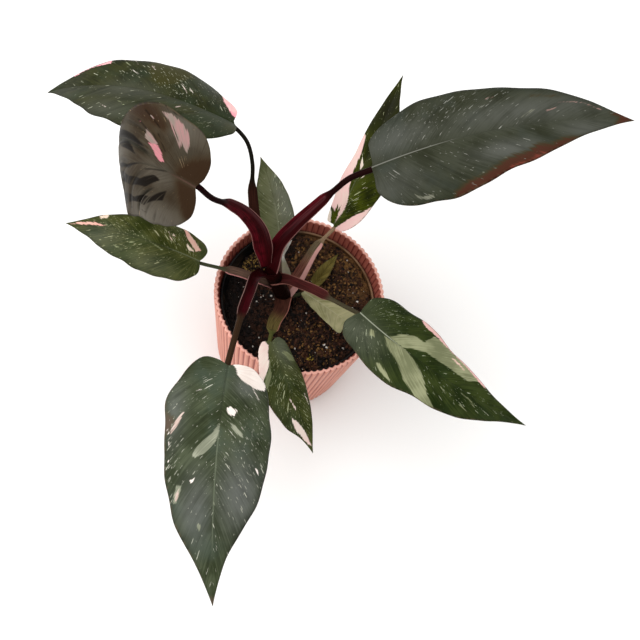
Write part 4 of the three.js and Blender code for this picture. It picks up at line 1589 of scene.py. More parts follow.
FORMS: dict[str, LeafForm] = {
    "right": LeafForm(
        base=(12, 43, 233), bearing=36, climb=30, turn=-10, droop=31, bank=-1, twist=12, fold=5,
        curl=28, length=171, left=37.5, right=37, lobe=-0.02, left_outline=(0.24, 0.73, 0.37),
        right_outline=(0.24, 0.61, 0.24), wave=(0.9, 3.0, 0.4),
        route=((-26, -8, 145), (-26, 3, 163), (-20.5, 12, 178), (-12, 21, 197), (-4, 29, 214), (2, 35, 224)),
        sheath_end=0.68, sheath_base=6.6, sheath_tip=3.7, thin=2.0, veins=11, relief=0.1, channel=0.75,
        clasp=0.15, rims=(0.04, 0.04), right_lobe=0.0, shoulders=(0.84, 0.98), uneven=1.5, slit=(1.3, 1.66),
        lit=0.5,
    ),
    "new": LeafForm(
        base=(-75.5, -32, 251), bearing=171, climb=-3, turn=-15, droop=90, settle=0.76, bank=-55, twist=-2,
        fold=7, curl=32, length=127, left=38.5, right=36.5, lobe=0.03, left_outline=(0.29, 0.79, 0.42),
        right_outline=(0.28, 0.74, 0.33), wave=(0.7, 2.5, 1.1),
        route=((-29, -8, 145), (-40, -4, 180), (-50, -8, 202), (-58, -15, 218), (-67, -27, 238)),
        sheath_end=0.74, sheath_base=8.0, sheath_tip=3.2, thin=1.8, veins=9, relief=1.7, crease_from=0.2,
        sweep=0.55, channel=0.6, clasp=-0.5, rims=(0.06, 0.07), crease_power=3, facing=(0.0, -0.4, 0.92),
        slit=(2.2, 2.5), lit=0.9,
    ),
    "back_left": LeafForm(
        base=(-84.5, 50, 205), bearing=181, climb=7, turn=9, droop=47, bank=35, twist=-36, fold=10,
        curl=25, length=149, left=44, right=42, lobe=0.02, left_outline=(0.37, 0.73, 0.28),
        right_outline=(0.27, 0.76, 0.31), wave=(1.0, 3.0, 2.0),
        route=((-29, -7, 143), (-40, -1, 162), (-49, 9, 177), (-57, 21, 187), (-63, 33, 196),
            (-72, 43, 202)),
        sheath_end=0.6, sheath_base=4.6, sheath_tip=3.2, thin=1.4, veins=11, relief=0.15, rims=(0.1, 0),
        right_lobe=-0.025, shoulders=(1.0, 0.74), uneven=2.4,
    ),
    "left": LeafForm(
        base=(-75, -20, 132), bearing=183, climb=8, turn=6, droop=29, bank=16, twist=-16, fold=8,
        curl=28, length=104, left=26, right=24, lobe=0.02, left_outline=(0.29, 0.71, 0.3),
        right_outline=(0.29, 0.74, 0.31), wave=(0.8, 3.0, 0.2),
        route=((-18, -5, 116), (-34, -12, 127), (-45, -15, 131), (-58, -18, 132)), sheath_end=0.66,
        sheath_base=3.9, sheath_tip=3.4, thin=1.3, veins=9, relief=0.2, rims=(0.3, 0), uneven=2.0,
    ),
    "centre": LeafForm(
        base=(-30, 21, 137), bearing=127, climb=45, turn=14, droop=22, bank=-2, twist=-2, fold=7,
        curl=29, length=61, left=16, right=13.5, lobe=0.04, left_outline=(0.28, 0.74, 0.35),
        right_outline=(0.28, 0.74, 0.32), wave=(0.5, 2.0, 0.0),
        route=((-17, -4, 113), (-22, 4, 122), (-27, 13, 131)), sheath_end=0.6, sheath_base=3.2,
        sheath_tip=2.4, thin=1.4, veins=8, relief=0.1,
    ),
    "back": LeafForm(
        base=(3, 33, 165), bearing=87, climb=20, turn=5, droop=12, bank=-47, twist=2, fold=15,
        curl=43, length=127, left=18, right=27.5, lobe=-0.02, left_outline=(0.28, 0.72, 0.37),
        right_outline=(0.25, 0.69, 0.29), wave=(0.9, 3.0, 1.0),
        route=((-12, -2, 100), (-7, 8, 112), (-5, 15, 126), (-3, 21, 142), (0, 26, 153)), sheath_end=0.76,
        sheath_base=6.2, sheath_tip=3.2, thin=1.3, veins=9, relief=0.15, rims=(0, 0.85), right_lobe=0.02,
        shoulders=(0.72, 1.0),
    ),
    "front_right": LeafForm(
        base=(45, -15, 152), bearing=-23, climb=5, turn=32, droop=27, bank=-9, twist=-8, fold=7,
        curl=24, length=148, left=33, right=29.5, lobe=0.01, left_outline=(0.27, 0.62, 0.24),
        right_outline=(0.27, 0.78, 0.3), wave=(1.0, 3.0, 0.8),
        route=((-21, -6, 126), (-12, -6, 134), (-2, -8, 140), (10, -10, 145), (21, -13, 149),
            (34, -15, 151)),
        sheath_end=0.64, sheath_base=4.2, sheath_tip=3.6, thin=1.5, veins=10, relief=0.15, clasp=0.4,
        rims=(0.06, 0.14), uneven=1.5,
    ),
    "small": LeafForm(
        base=(-3, -55, 134), bearing=-42, climb=-11, turn=2, droop=28, bank=-32, twist=15, fold=6,
        curl=31, length=87, left=18, right=22, lobe=0.02, left_outline=(0.29, 0.72, 0.31),
        right_outline=(0.33, 0.79, 0.28), wave=(0.6, 2.5, 0.5),
        route=((-12, -3, 101), (-8, -20, 112), (-8, -36, 123), (-6, -48, 131)), sheath_end=0.8,
        sheath_base=6.2, sheath_tip=4.4, thin=1.5, veins=9, relief=0.12, channel=1.1, rims=(0.1, 0),
        shoulders=(1.0, 0.86),
    ),
    "front": LeafForm(
        base=(-19, -101, 186), bearing=-75, climb=10, turn=13, droop=32, bank=-10, twist=10,
        fold=-1, curl=31, length=143, left=35.5, right=33.5, lobe=0.02, left_outline=(0.37, 0.75, 0.22),
        right_outline=(0.19, 0.77, 0.31), wave=(1.0, 3.0, 2.6),
        route=((-26, -8, 138), (-31, -25, 158), (-29, -43, 170), (-27, -59, 178), (-24, -76, 184)),
        sheath_end=0.66, sheath_base=4.2, sheath_tip=3.5, thin=2.0, veins=10, relief=0.3, rims=(0.05, 0.14),
        rim_from=0.2, clasp=0.5, shoulders=(1.0, 0.93), uneven=1.4,
    ),
    "trimmed": LeafForm(
        base=(1, 8, 97), bearing=-22, climb=24, turn=0, droop=6, bank=-10, twist=0, fold=8, curl=8,
        length=43, left=13, right=13, lobe=0, left_outline=None, right_outline=None, wave=(0, 1, 0),
        route=((-11, -2, 93.5), (-4, 3, 95)), sheath_end=0.4, sheath_base=2.4, sheath_tip=1.8, thin=1.4,
        veins=5, relief=0.15, sweep=0.6, shoulders=(0.98, 1.06),
    ),
    "sprout": LeafForm(
        base=(6, 20, 92), bearing=75, climb=24, turn=0, droop=8, bank=0, twist=0, fold=30, curl=12,
        length=31, left=5.8, right=5.8, lobe=0, left_outline=(0.35, 0.75, 0.35),
        right_outline=(0.35, 0.75, 0.35), wave=(0, 1, 0), route=((3, 12, 70), (4, 15, 80), (5, 18, 88)),
        sheath_end=0.3, sheath_base=1.6, sheath_tip=1.4, thin=1.2, veins=5, relief=0.08, sweep=0.3,
    ),
}

# The outlines' corners are shares along the midrib and across a half, left positive.
SECTORS: dict[str, dict[Mark, tuple[Outline, ...]]] = {
    "back_left": {
        Mark.PINK: (
            ((0.88, -0.26), (0.82, -0.38), (0.76, -0.5), (0.69, -0.62), (0.68, -0.53), (0.75, -0.43),
             (0.8, -0.34), (0.84, -0.22)),
            ((0.15, -0.86), (0.12, -0.7), (0.1, -0.52), (0.07, -0.38), (0.03, -0.2), (-0.04, -0.1),
             (-0.04, -0.6), (0.04, -1.1), (0.15, -1.1)),
        ),
        Mark.RUST: (
            ((0.51, -0.68), (0.52, -1.1), (0.36, -1.1), (0.29, -0.84), (0.32, -0.37), (0.38, -0.19),
             (0.44, -0.26)),
        ),
        Mark.CREAM: (
            ((0.31, -0.45), (0.26, -0.24)), ((0.27, -0.42), (0.24, -0.31)), ((0.25, 0.37), (0.24, 0.23)),
            ((0.57, 0.54), (0.53, 0.62)), ((0.59, -0.74), (0.55, -0.63)), ((0.56, -0.45), (0.51, -0.35)),
            ((0.49, -0.71), (0.46, -0.6)),
        ),
        Mark.SAGE: (((0.5, 0.44), (0.46, 0.53)), ((0.62, -0.62), (0.58, -0.55))),
    },
    "new": {
        Mark.CREAM: (
            ((0.3, -0.57), (0.28, -0.52), (0.25, -0.45), (0.22, -0.38), (0.25, -0.33), (0.28, -0.38),
             (0.3, -0.44)),
            ((0.24, -0.88), (0.2, -0.9), (0.15, -0.84), (0.12, -0.79), (0.095, -0.72), (0.08, -0.55),
             (0.085, -0.45), (0.1, -0.5), (0.13, -0.59), (0.165, -0.7), (0.195, -0.79)),
            ((0.19, -0.74), (0.165, -0.68), (0.14, -0.61), (0.12, -0.54), (0.115, -0.46), (0.135, -0.53),
             (0.16, -0.64)),
            ((0.27, -0.75), (0.29, -0.78)),
        ),
        Mark.PINK: (
            ((0.28, -0.38), (0.26, -0.36), (0.22, -0.37), (0.2, -0.27), (0.18, -0.15), (0.2, -0.12),
             (0.23, -0.19), (0.25, -0.27)),
            ((0.335, -0.66), (0.345, -0.67)),
        ),
        Mark.RUST: (
            ((0.5, -1.05), (0.36, -1.08), (0.27, -0.95), (0.18, -0.71), (0.2, -0.6), (0.26, -0.62),
             (0.33, -0.67), (0.44, -0.88)),
            ((-0.1, -0.75), (0.02, -0.5), (0.07, -0.36), (0.1, -0.25), (0.12, 0), (-0.05, 0)),
            ((-0.1, 0.8), (0.02, 0.55), (0.06, 0.35), (0.1, 0.1), (0.1, 0), (-0.05, 0)),
            ((0.44, -0.9), (0.41, -0.84), (0.32, -0.7), (0.26, -0.58), (0.22, -0.49), (0.19, -0.34),
             (0.18, -0.22), (0.21, -0.38), (0.25, -0.5), (0.32, -0.64), (0.38, -0.77)),
        ),
        Mark.SHADE: (
            ((0.62, -0.8), (0.46, -0.58), (0.38, -0.46), (0.3, -0.28), (0.36, -0.32), (0.44, -0.43),
             (0.56, -0.6)),
            ((0.6, -0.55), (0.45, -0.39), (0.4, -0.28), (0.37, -0.14), (0.42, -0.22), (0.5, -0.34)),
            ((0.66, -0.14), (0.49, 0.16), (0.35, 0.24), (0.23, 0.12), (0.19, 0.17), (0.3, 0.35),
             (0.49, 0.31), (0.66, 0.06)),
            ((0.62, -0.22), (0.48, -0.02), (0.36, 0.0), (0.48, 0.04), (0.62, -0.14)),
            ((0.88, -0.1), (0.66, 0.27), (0.48, 0.51), (0.26, 0.49), (0.14, 0.29), (0.16, 0.47),
             (0.36, 0.66), (0.66, 0.46), (0.88, 0.12)),
            ((0.31, 0.08), (0.16, 0.0)), ((0.7, 0.52), (0.37, 0.78)), ((0.36, -0.72), (0.28, -0.53)),
            ((0.26, -0.54), (0.2, -0.3)), ((0.33, -0.87), (0.23, -0.64)), ((0.2, -0.94), (0.1, -0.89)),
            ((0.23, -0.54), (0.18, -0.31)),
        ),
    },
    "left": {
        Mark.PINK: (
            ((0.96, 0.01), (0.88, -0.1), (0.79, -0.15), (0.69, -0.12), (0.72, -0.08), (0.78, -0.07),
             (0.86, -0.03)),
            ((0.2, -1.05), (0.16, -0.92), (0.1, -0.68), (0.02, -0.38), (0.05, -0.26), (0.09, -0.41),
             (0.13, -0.56), (0.17, -0.77)),
        ),
        Mark.CREAM: (
            ((0.77, -0.4), (0.71, -0.55), (0.71, -0.38), (0.75, -0.33)),
            ((0.13, -0.4), (0.1, -0.33), (0.06, -0.23), (0.09, -0.2), (0.12, -0.28)),
            ((0.25, -0.58), (0.24, -0.57), (0.22, -0.49), (0.24, -0.48)),
            ((0.28, -0.56), (0.23, -0.31)),
        ),
        Mark.SAGE: (
            ((0.49, 0.24), (0.47, 0.17), (0.46, 0.23), (0.48, 0.26)),
            ((0.58, 0.46), (0.51, 0.51)), ((0.36, 0.02), (0.26, 0.16)),
        ),
    },
    "back": {
        Mark.PINK: (
            ((0.1, 0.5), (0.12, 0.8), (0.2, 1.3), (0.5, 1.3), (0.6, 0.8), (0.57, 0.54), (0.44, 0.34),
             (0.34, 0.31), (0.23, 0.12), (0.16, -0.1), (0.11, -0.16), (0.05, -0.08), (0.02, -0.01),
             (0.07, 0.04), (0.12, 0.1), (0.09, 0.14), (0.13, 0.3), (0.08, 0.26)),
            ((-0.03, -0.1), (0.03, -0.4), (0.08, -0.62), (0.12, -0.82), (0.17, -0.98), (0.15, -1.2),
             (0.03, -1.2), (-0.04, -0.7)),
        ),
        Mark.CREAM: (
            ((0.12, 1.0), (0.1, 0.72), (0.07, 0.42), (0.01, 0.19), (-0.03, 0.4), (0.0, 0.9)),
            ((0.43, 0.18), (0.4, 0.15), (0.35, 0.04), (0.38, -0.04)),
            ((0.24, -0.45), (0.25, -0.55)), ((0.3, -0.2), (0.31, -0.3)),
        ),
    },
    "front_right": {
        Mark.SAGE: (
            ((0.16, -0.06), (0.22, -0.01), (0.28, 0.01), (0.34, -0.1), (0.39, -0.26), (0.43, -0.48),
             (0.46, -0.7), (0.52, -0.87), (0.47, -0.94), (0.42, -0.9), (0.38, -0.79), (0.34, -0.68),
             (0.28, -0.42), (0.2, -0.24)),
            ((0.18, 0.01), (0.21, 0.22), (0.27, 0.42), (0.33, 0.46), (0.36, 0.78), (0.44, 0.86), (0.5, 0.8),
             (0.58, 0.66), (0.68, 0.44), (0.62, 0.27), (0.56, 0.27), (0.49, 0.29), (0.43, 0.28),
             (0.36, 0.26), (0.31, 0.15), (0.26, 0.02)),
            ((0.09, -0.17), (0.11, -0.13), (0.13, -0.27), (0.11, -0.32)),
            ((0.21, -0.78), (0.22, -0.72), (0.26, -0.79), (0.31, -0.91), (0.28, -0.91), (0.24, -0.86)),
            ((0.6, -0.11), (0.64, -0.16)), ((0.64, -0.14), (0.68, -0.26)), ((0.61, -0.43), (0.65, -0.49)),
            ((0.5, -0.3), (0.53, -0.38)), ((0.11, 0.89), (0.17, 0.97)),
        ),
        Mark.PINK: (
            ((0.25, 1.0), (0.27, 0.9), (0.31, 0.83), (0.35, 0.84), (0.42, 0.8), (0.49, 0.73), (0.55, 0.65),
             (0.6, 0.57), (0.66, 0.46), (0.72, 0.35), (0.75, 0.5), (0.6, 0.9), (0.45, 1.1)),
        ),
        Mark.CREAM: (((0.48, 0.58), (0.53, 0.52), (0.59, 0.44), (0.58, 0.5), (0.53, 0.58)),),
    },
    "right": {
        Mark.RUST: (
            ((0.24, -1.2), (0.27, -0.88), (0.33, -0.76), (0.38, -0.73), (0.44, -0.63), (0.49, -0.52),
             (0.56, -0.47), (0.61, -0.36), (0.66, -0.39), (0.71, -0.29), (0.77, -0.29), (0.81, -0.3),
             (0.82, -0.6), (0.8, -0.8), (0.5, -1.2)),
            ((0.62, 0.52), (0.72, 0.45)),
            ((0.9, -0.2), (0.95, -0.1), (1.01, 0), (0.96, 0.2), (0.9, 0.12), (0.93, 0.03)),
        ),
        Mark.SAGE: (
            ((0.12, -0.74), (0.15, -0.83), (0.19, -0.83), (0.19, -0.89), (0.16, -0.89), (0.13, -0.81)),
            ((0.57, 0.13), (0.62, 0.25)), ((0.42, -0.67), (0.44, -0.66)), ((0.37, -0.71), (0.39, -0.7)),
            ((0.47, -0.54), (0.49, -0.52)),
        ),
        Mark.CREAM: (
            ((0.71, 0.33), (0.76, 0.345), (0.81, 0.3), (0.76, 0.33)),
            ((0.81, 0.295), (0.87, 0.17)), ((0.46, 0.6), (0.49, 0.63)), ((0.66, 0.2), (0.71, 0.24)),
        ),
    },
    "front": {
        Mark.CREAM: (
            ((-0.02, 0.06), (-0.05, 0.22), (-0.05, 0.5), (-0.02, 0.7), (0.03, 0.8), (0.06, 0.77),
             (0.07, 0.56), (0.06, 0.4), (0.05, 0.27), (0.03, 0.19), (0.01, 0.16)),
            ((0.2, 0.06), (0.19, 0.15), (0.2, 0.27), (0.22, 0.26), (0.23, 0.19), (0.22, 0.12)),
            ((0.44, 0.7), (0.45, 0.77), (0.47, 0.78), (0.46, 0.73)),
            ((0.51, -0.42), (0.5, -0.33), (0.51, -0.35), (0.52, -0.4)),
            ((0.07, 0.51), (0.12, 0.68)), ((0.26, 0.35), (0.28, 0.43)), ((0.31, -0.91), (0.33, -0.87)),
            ((0.36, -0.86), (0.38, -0.83)), ((0.42, -0.86), (0.44, -0.82)), ((0.14, -0.49), (0.13, -0.38)),
        ),
        Mark.SAGE: (
            ((0.27, 0), (0.31, 0), (0.35, -0.04), (0.4, -0.2), (0.42, -0.36), (0.41, -0.42), (0.39, -0.39),
             (0.36, -0.28), (0.32, -0.13)),
            ((0.26, 0.16), (0.27, 0.27), (0.3, 0.41), (0.32, 0.44), (0.3, 0.31), (0.28, 0.22)),
            ((0.53, -0.57), (0.56, -0.57), (0.6, -0.64), (0.6, -0.69), (0.56, -0.68), (0.53, -0.64)),
            ((0.67, -0.26), (0.68, -0.21), (0.7, -0.23), (0.69, -0.26)),
            ((0.38, 0.07), (0.42, 0.19)), ((0.59, 0.0), (0.6, 0.01)),
        ),
        Mark.PINK: (
            ((0.23, -0.65), (0.27, -0.69), (0.31, -0.77), (0.33, -0.85), (0.31, -0.84), (0.27, -0.77),
             (0.24, -0.7)),
            ((0.54, -0.6), (0.57, -0.59), (0.595, -0.65), (0.57, -0.67)),
        ),
        Mark.RUST: (
            ((0.96, -0.2), (0.96, 0.2), (1.02, 0)),
            ((0.3, -1.05), (0.22, -1.0), (0.26, -0.82), (0.3, -0.78), (0.33, -0.88), (0.34, -1.0)),
        ),
    },
    "trimmed": {
        Mark.SAGE: (
            ((-0.1, -0.35), (0.1, -0.32), (0.22, -0.44), (0.36, -0.66), (0.36, -1.2), (-0.1, -1.2)),
        ),
    },
    "small": {
        Mark.CREAM: (
            ((-0.02, -0.3), (0.02, -0.22), (0.07, -0.36), (0.14, -0.46), (0.2, -0.64), (0.24, -0.8),
             (0.3, -0.95), (0.3, -1.1), (0.18, -1.15), (0.08, -1.1), (-0.01, -0.8), (-0.04, -0.43)),
            ((0.6, -0.41), (0.68, -0.2), (0.8, -0.03), (0.93, 0.02), (0.84, -0.2), (0.72, -0.36)),
            ((0.5, 0.56), (0.6, 0.59)), ((0.48, -0.2), (0.58, -0.11)),
        ),
        Mark.SAGE: (
            ((0.13, -0.4), (0.19, -0.48), (0.25, -0.55), (0.3, -0.72), (0.36, -0.93), (0.34, -1.02),
             (0.28, -0.87), (0.22, -0.67), (0.18, -0.52)),
            ((0.1, 0.37), (0.12, 0.59), (0.18, 0.87), (0.22, 0.89), (0.19, 0.51), (0.14, 0.37)),
            ((0.11, 0.29), (0.17, 0.63)),
        ),
    },
}

# Where a blade's painted sheen lies; the splashed leaf's dark sheen colour paints shade there instead.
HAZES: dict[str, tuple[Haze, ...]] = {
    "right": (
        Haze((0.12, 0.35), (0.15, 0.28), 0.8), Haze((0.6, 0.25), (0.3, 0.25), 0.8),
        Haze((0.5, -0.4), (0.13, 0.18), 1.0), Haze((0.07, -0.45), (0.1, 0.3), 0.6),
        Haze((0.8, -0.2), (0.12, 0.25), 0.8),
    ),
    "new": (
        Haze((0.4, 0.85), (0.45, 0.3), 0.8), Haze((0.12, -0.85), (0.1, 0.25), 0.5),
        Haze((0.56, -0.3), (0.16, 0.14), 0.6), Haze((0.22, 0.1), (0.12, 0.2), 0.4),
        Haze((0.31, -0.84), (0.05, 0.1), 0.5),
    ),
    "back_left": (
        Haze((0.53, 0.7), (0.16, 0.3), 0.8), Haze((0.5, 0.1), (0.16, 0.3), 0.7),
        Haze((0.85, 0.1), (0.1, 0.5), 0.4),
    ),
    "left": (Haze((0.7, 0.3), (0.2, 0.5), 0.35), Haze((0.3, 0.7), (0.2, 0.4), 0.25)),
    # the splashed leaf's sheen colour is dark: painted shade from its middle to its tip
    "back": (Haze((0.5, -0.5), (0.2, 0.8), 0.9), Haze((0.75, 0.0), (0.25, 1.0), 1.0)),
    "front_right": (Haze((0.05, -0.5), (0.15, 0.6), 0.8), Haze((0.0, 0.2), (0.08, 0.5), 0.3)),
    "small": (Haze((0.08, 0.4), (0.16, 0.5), 0.8),),
    "front": (
        Haze((0.56, 0.45), (0.16, 0.4), 0.8), Haze((0.62, -0.3), (0.14, 0.3), 0.7),
        Haze((0.25, -0.85), (0.14, 0.22), 0.6), Haze((0.08, 0.4), (0.05, 0.25), 0.6),
    ),
    "centre": (Haze((0.4, -0.5), (0.4, 0.6), 0.7),),
}

# Where a blade's flecks crowd.
FLECKED: dict[str, tuple[Haze, ...]] = {
    "right": (
        Haze((0.28, 0.6), (0.24, 0.35), 1.0), Haze((0.25, -0.45), (0.15, 0.3), 0.4),
        Haze((0.42, -0.3), (0.1, 0.2), 0.4),
    ),
    "back_left": (
        Haze((0.3, -0.4), (0.14, 0.35), 1.0), Haze((0.14, -0.5), (0.1, 0.3), 0.7),
        Haze((0.55, -0.5), (0.14, 0.3), 0.7), Haze((0.14, 0.5), (0.12, 0.4), 0.5),
    ),
    "left": (
        Haze((0.25, -0.5), (0.18, 0.5), 1.0), Haze((0.6, -0.3), (0.2, 0.4), 0.8),
        Haze((0.5, 0.4), (0.3, 0.4), 0.6),
    ),
    "centre": (Haze((0.5, -0.5), (0.4, 0.5), 0.5),),
    "back": (Haze((0.18, 0.1), (0.14, 0.7), 0.4),),
    "front_right": (
        Haze((0.12, 0.6), (0.12, 0.5), 0.6), Haze((0.6, -0.4), (0.18, 0.4), 0.5),
        Haze((0.13, -0.5), (0.1, 0.3), 0.4),
    ),
    "small": (Haze((0.5, 0.3), (0.35, 0.7), 0.8), Haze((0.5, -0.5), (0.35, 0.5), 0.8)),
    "front": (
        Haze((0.3, 0.6), (0.16, 0.35), 0.9), Haze((0.45, 0.35), (0.2, 0.5), 0.7),
        Haze((0.42, -0.8), (0.2, 0.25), 0.8), Haze((0.15, -0.3), (0.1, 0.3), 0.4),
    ),
}

FINISHES: dict[str, LeafFinish] = {
    "right": LeafFinish(
        name="slate_leaf", dark=(0.016, 0.018, 0.008), light=(0.033, 0.036, 0.022),
        sheen_and_shade=(0.07, 0.073, 0.062), cool=(0.032, 0.038, 0.03), cream=(0.2, 0.13, 0.11),
        rust=(0.052, 0.016, 0.008), rust_fringe=(0.034, 0.026, 0.01), ember=(0.17, 0.034, 0.022),
        sage=(0.16, 0.16, 0.12), fleck_colour=(0.22, 0.22, 0.19), rib=(0.2, 0.2, 0.17),
        rib_span=(-0.1, 0.26), rib_strength=0.6, rib_width=0.6, flecks=0.36,
    ),
    "new": LeafFinish(
        name="bronze_leaf", dark=(0.026, 0.017, 0.009), light=(0.05, 0.04, 0.026), sheen_and_shade=(0.112, 0.1, 0.081),
        cool=(0.042, 0.036, 0.025), pink=(0.5, 0.17, 0.2), cream=(0.2, 0.16, 0.135),
        rust=(0.026, 0.013, 0.006), rust_fringe=(0.036, 0.023, 0.012), rust_edge=(0.2, 0.7),
        sage=(0.2, 0.15, 0.12), fleck_colour=(0.2, 0.14, 0.08), rib=(0.1, 0.05, 0.04), rib_span=(-0.1, 0.1),
        rib_strength=0.4, flecks=0.12, crease_shade=0.8, roughness=0.42, shine=0.02, edge_shade=0.0,
    ),
    "back_left": LeafFinish(
        name="olive_leaf", dark=(0.01, 0.0125, 0.0025), light=(0.03, 0.032, 0.0085),
        sheen_and_shade=(0.061, 0.064, 0.047), cool=(0.024, 0.034, 0.017), pink=(0.8, 0.3, 0.36),
        cream=(0.75, 0.7, 0.6), rust=(0.035, 0.033, 0.008), rust_fringe=(0.032, 0.032, 0.009),
        fleck_colour=(0.4, 0.41, 0.3), rib_strength=0.0, flecks=0.45, shine=0.03,
    ),
    "left": LeafFinish(
        name="fresh_green_leaf", dark=(0.021, 0.028, 0.004), light=(0.072, 0.077, 0.02),
        cool=(0.05, 0.063, 0.024), pink=(0.7, 0.36, 0.3), cream=(0.75, 0.64, 0.5),
        fleck_colour=(0.42, 0.42, 0.24), rib_span=(-0.1, 0.2), rib_strength=0.3, flecks=0.55, shine=0.035,
    ),
    "centre": LeafFinish(
        name="mottled_leaf", dark=(0.062, 0.07, 0.026), light=(0.125, 0.134, 0.062),
        sheen_and_shade=(0.16, 0.165, 0.13), cool=(0.1, 0.12, 0.08), rib=(0.3, 0.32, 0.2), rib_span=(-0.1, 0.45),
        rib_strength=0.22, flecks=0.5, crease_shade=0.08,
    ),
    "back": LeafFinish(
        name="splashed_leaf", dark=(0.009, 0.012, 0.001), light=(0.05, 0.062, 0.003),
        cool=(0.03, 0.04, 0.003), pink=(0.66, 0.42, 0.4), cream=(0.62, 0.56, 0.46),
        sheen_and_shade=(0.011, 0.011, 0.005), fleck_colour=(0.4, 0.42, 0.24), rib_strength=0.2, flecks=0.6,
        shine=0.015,
    ),
    "front_right": LeafFinish(
        name="sectored_leaf", dark=(0.009, 0.016, 0.002), light=(0.031, 0.043, 0.009),
        cool=(0.024, 0.038, 0.012), sheen_and_shade=(0.082, 0.09, 0.064), pink=(0.74, 0.4, 0.4),
        cream=(0.62, 0.45, 0.36), sage=(0.26, 0.27, 0.155), fleck_colour=(0.38, 0.41, 0.28),
        rib=(0.3, 0.32, 0.24), rib_span=(-0.1, 0.22), rib_strength=0.8, rib_width=0.8, flecks=0.45,
        shine=0.03,
    ),
    "small": LeafFinish(
        name="flecked_leaf", dark=(0.023, 0.03, 0.006), light=(0.064, 0.072, 0.02),
        cool=(0.046, 0.062, 0.028), cream=(0.8, 0.68, 0.6), sheen_and_shade=(0.1, 0.11, 0.075), sage=(0.2, 0.22, 0.12),
        fleck_colour=(0.36, 0.38, 0.22), rib_strength=0.0, flecks=0.6, shine=0.03,
    ),
    "front": LeafFinish(
        name="deep_green_leaf", dark=(0.023, 0.03, 0.012), light=(0.06, 0.073, 0.039),
        cool=(0.046, 0.063, 0.045), sheen_and_shade=(0.115, 0.12, 0.113), pink=(0.46, 0.34, 0.29),
        cream=(0.8, 0.72, 0.66), rust=(0.085, 0.06, 0.042), rust_fringe=(0.065, 0.06, 0.036),
        rib=(0.13, 0.15, 0.1), sage=(0.3, 0.31, 0.23), fleck_colour=(0.42, 0.42, 0.34),
        rib_span=(0.32, 0.75), rib_strength=0.6, flecks=0.5,
    ),
    "trimmed": LeafFinish(
        name="cream_green_leaf", dark=(0.17, 0.165, 0.075), light=(0.31, 0.29, 0.16),
        sheen_and_shade=(0.1, 0.12, 0.05), cool=(0.22, 0.22, 0.12), rib=(0.34, 0.33, 0.22), sage=(0.016, 0.024, 0.006),
        flecks=0.0, rib_span=(-0.1, 1.2), crease_shade=0.2, edge_shade=0.0,
    ),
    "sprout": LeafFinish(
        name="olive_sprout", dark=(0.07, 0.054, 0.012), light=(0.165, 0.13, 0.034), rib=(0.05, 0.04, 0.012),
        rib_strength=0.0, flecks=0.1,
    ),
}

# Each petiole's skin, with the material slots of blade and petiole.
STALKS: dict[str, tuple[StalkFinish, tuple[str, str]]] = {
    "right": (MAROON, SLATE_SLOTS),
    "new": (MAROON, ("leaf_bronze", "petiole_maroon")),
    "back_left": (BLACK, ("leaf_green", "petiole_maroon")),
    "left": (BROWN, GREEN_SLOTS),
    "centre": (BROWN, ("leaf_slate", "petiole_olive")),
    "back": (OLIVE, GREEN_SLOTS),
    "front_right": (RUSSET, ("leaf_green", "petiole_maroon")),
    "small": (LEATHERY, GREEN_SLOTS),
    "front": (CRIMSON, SLATE_SLOTS),
    "trimmed": (BROWN, ("leaf_cream", "petiole_olive")),
    "sprout": (LEATHERY, ("leaf_olive", "petiole_olive")),
}


# ------------ stage
@dataclass
class Stage:
    """Floor, light and camera."""

    camera_at: Point = (21.5, -257.3, 656.6)
    elevation: float = 66.0
    roll: float = 24.0
    lens: float = 45.0
    sensor: float = 36.0
    near_clip: float = 0.01
    floor_size: float = 4.0
    room: Colour = (1.0, 0.99, 0.98)
    room_strength: float = 0.72
    aim: Point = (0, 0, 150)

    def floor(self) -> None:
        """A wide plain floor under the pot."""
        bpy.ops.object.select_all(action="DESELECT")
        bpy.ops.mesh.primitive_plane_add(size=self.floor_size)
        floor = bpy.context.object
        floor.name = "floor"
        floor.data.materials.append(FloorFinish().material())

    def lamp(self, name: str, place: Point, size: float, power: float) -> None:
        """One soft square light, aimed at the plant."""
        light = bpy.data.lights.new(name, "AREA")
        light.size = size
        light.energy = power
        lamp = placed(name, light)
        way = np.array(self.aim, float) - np.array(place, float)
        lamp.location = np.array(place) * MM
        flat = math.hypot(way[0], way[1])
        lamp.rotation_euler = (math.atan2(flat, -way[2]), 0, math.atan2(way[1], way[0]) - math.pi / 2)

    def light(self) -> None:
        """A bright even room with one soft key light."""
        world = bpy.data.worlds.new("pale_room")
        world.use_nodes = True
        background = world.node_tree.nodes["Background"]
        background.inputs["Color"].default_value = (*self.room, 1)
        background.inputs["Strength"].default_value = self.room_strength
        bpy.context.scene.world = world
        self.lamp("key", place=(-1100, -600, 1800), size=2.6, power=56.0)
        self.lamp("fill", place=(500, 1000, 1900), size=2.4, power=12.0)
        bpy.context.scene.view_settings.view_transform = "Standard"

    def camera(self) -> None:
        """The camera, looking down on the plant and rolled to one side."""
        data = bpy.data.cameras.new("view")
        data.lens = self.lens
        data.sensor_width = self.sensor
        data.clip_start = self.near_clip
        camera = placed("view", data)
        tilt, roll = math.radians(90 - self.elevation), math.radians(self.roll)
        right = np.array([math.cos(roll), math.sin(roll) * math.cos(tilt), math.sin(roll) * math.sin(tilt)])
        up = np.array([-math.sin(roll), math.cos(roll) * math.cos(tilt), math.cos(roll) * math.sin(tilt)])
        back = np.cross(right, up)
        matrix = np.eye(4)
        matrix[:3, 0], matrix[:3, 1], matrix[:3, 2] = right, up, back
        matrix[:3, 3] = np.array(self.camera_at) * MM
        camera.matrix_world = matrix.T
        bpy.context.scene.camera = camera

    def build(self) -> None:
        """Sets the whole stage."""
        self.camera()
        self.floor()
        self.light()


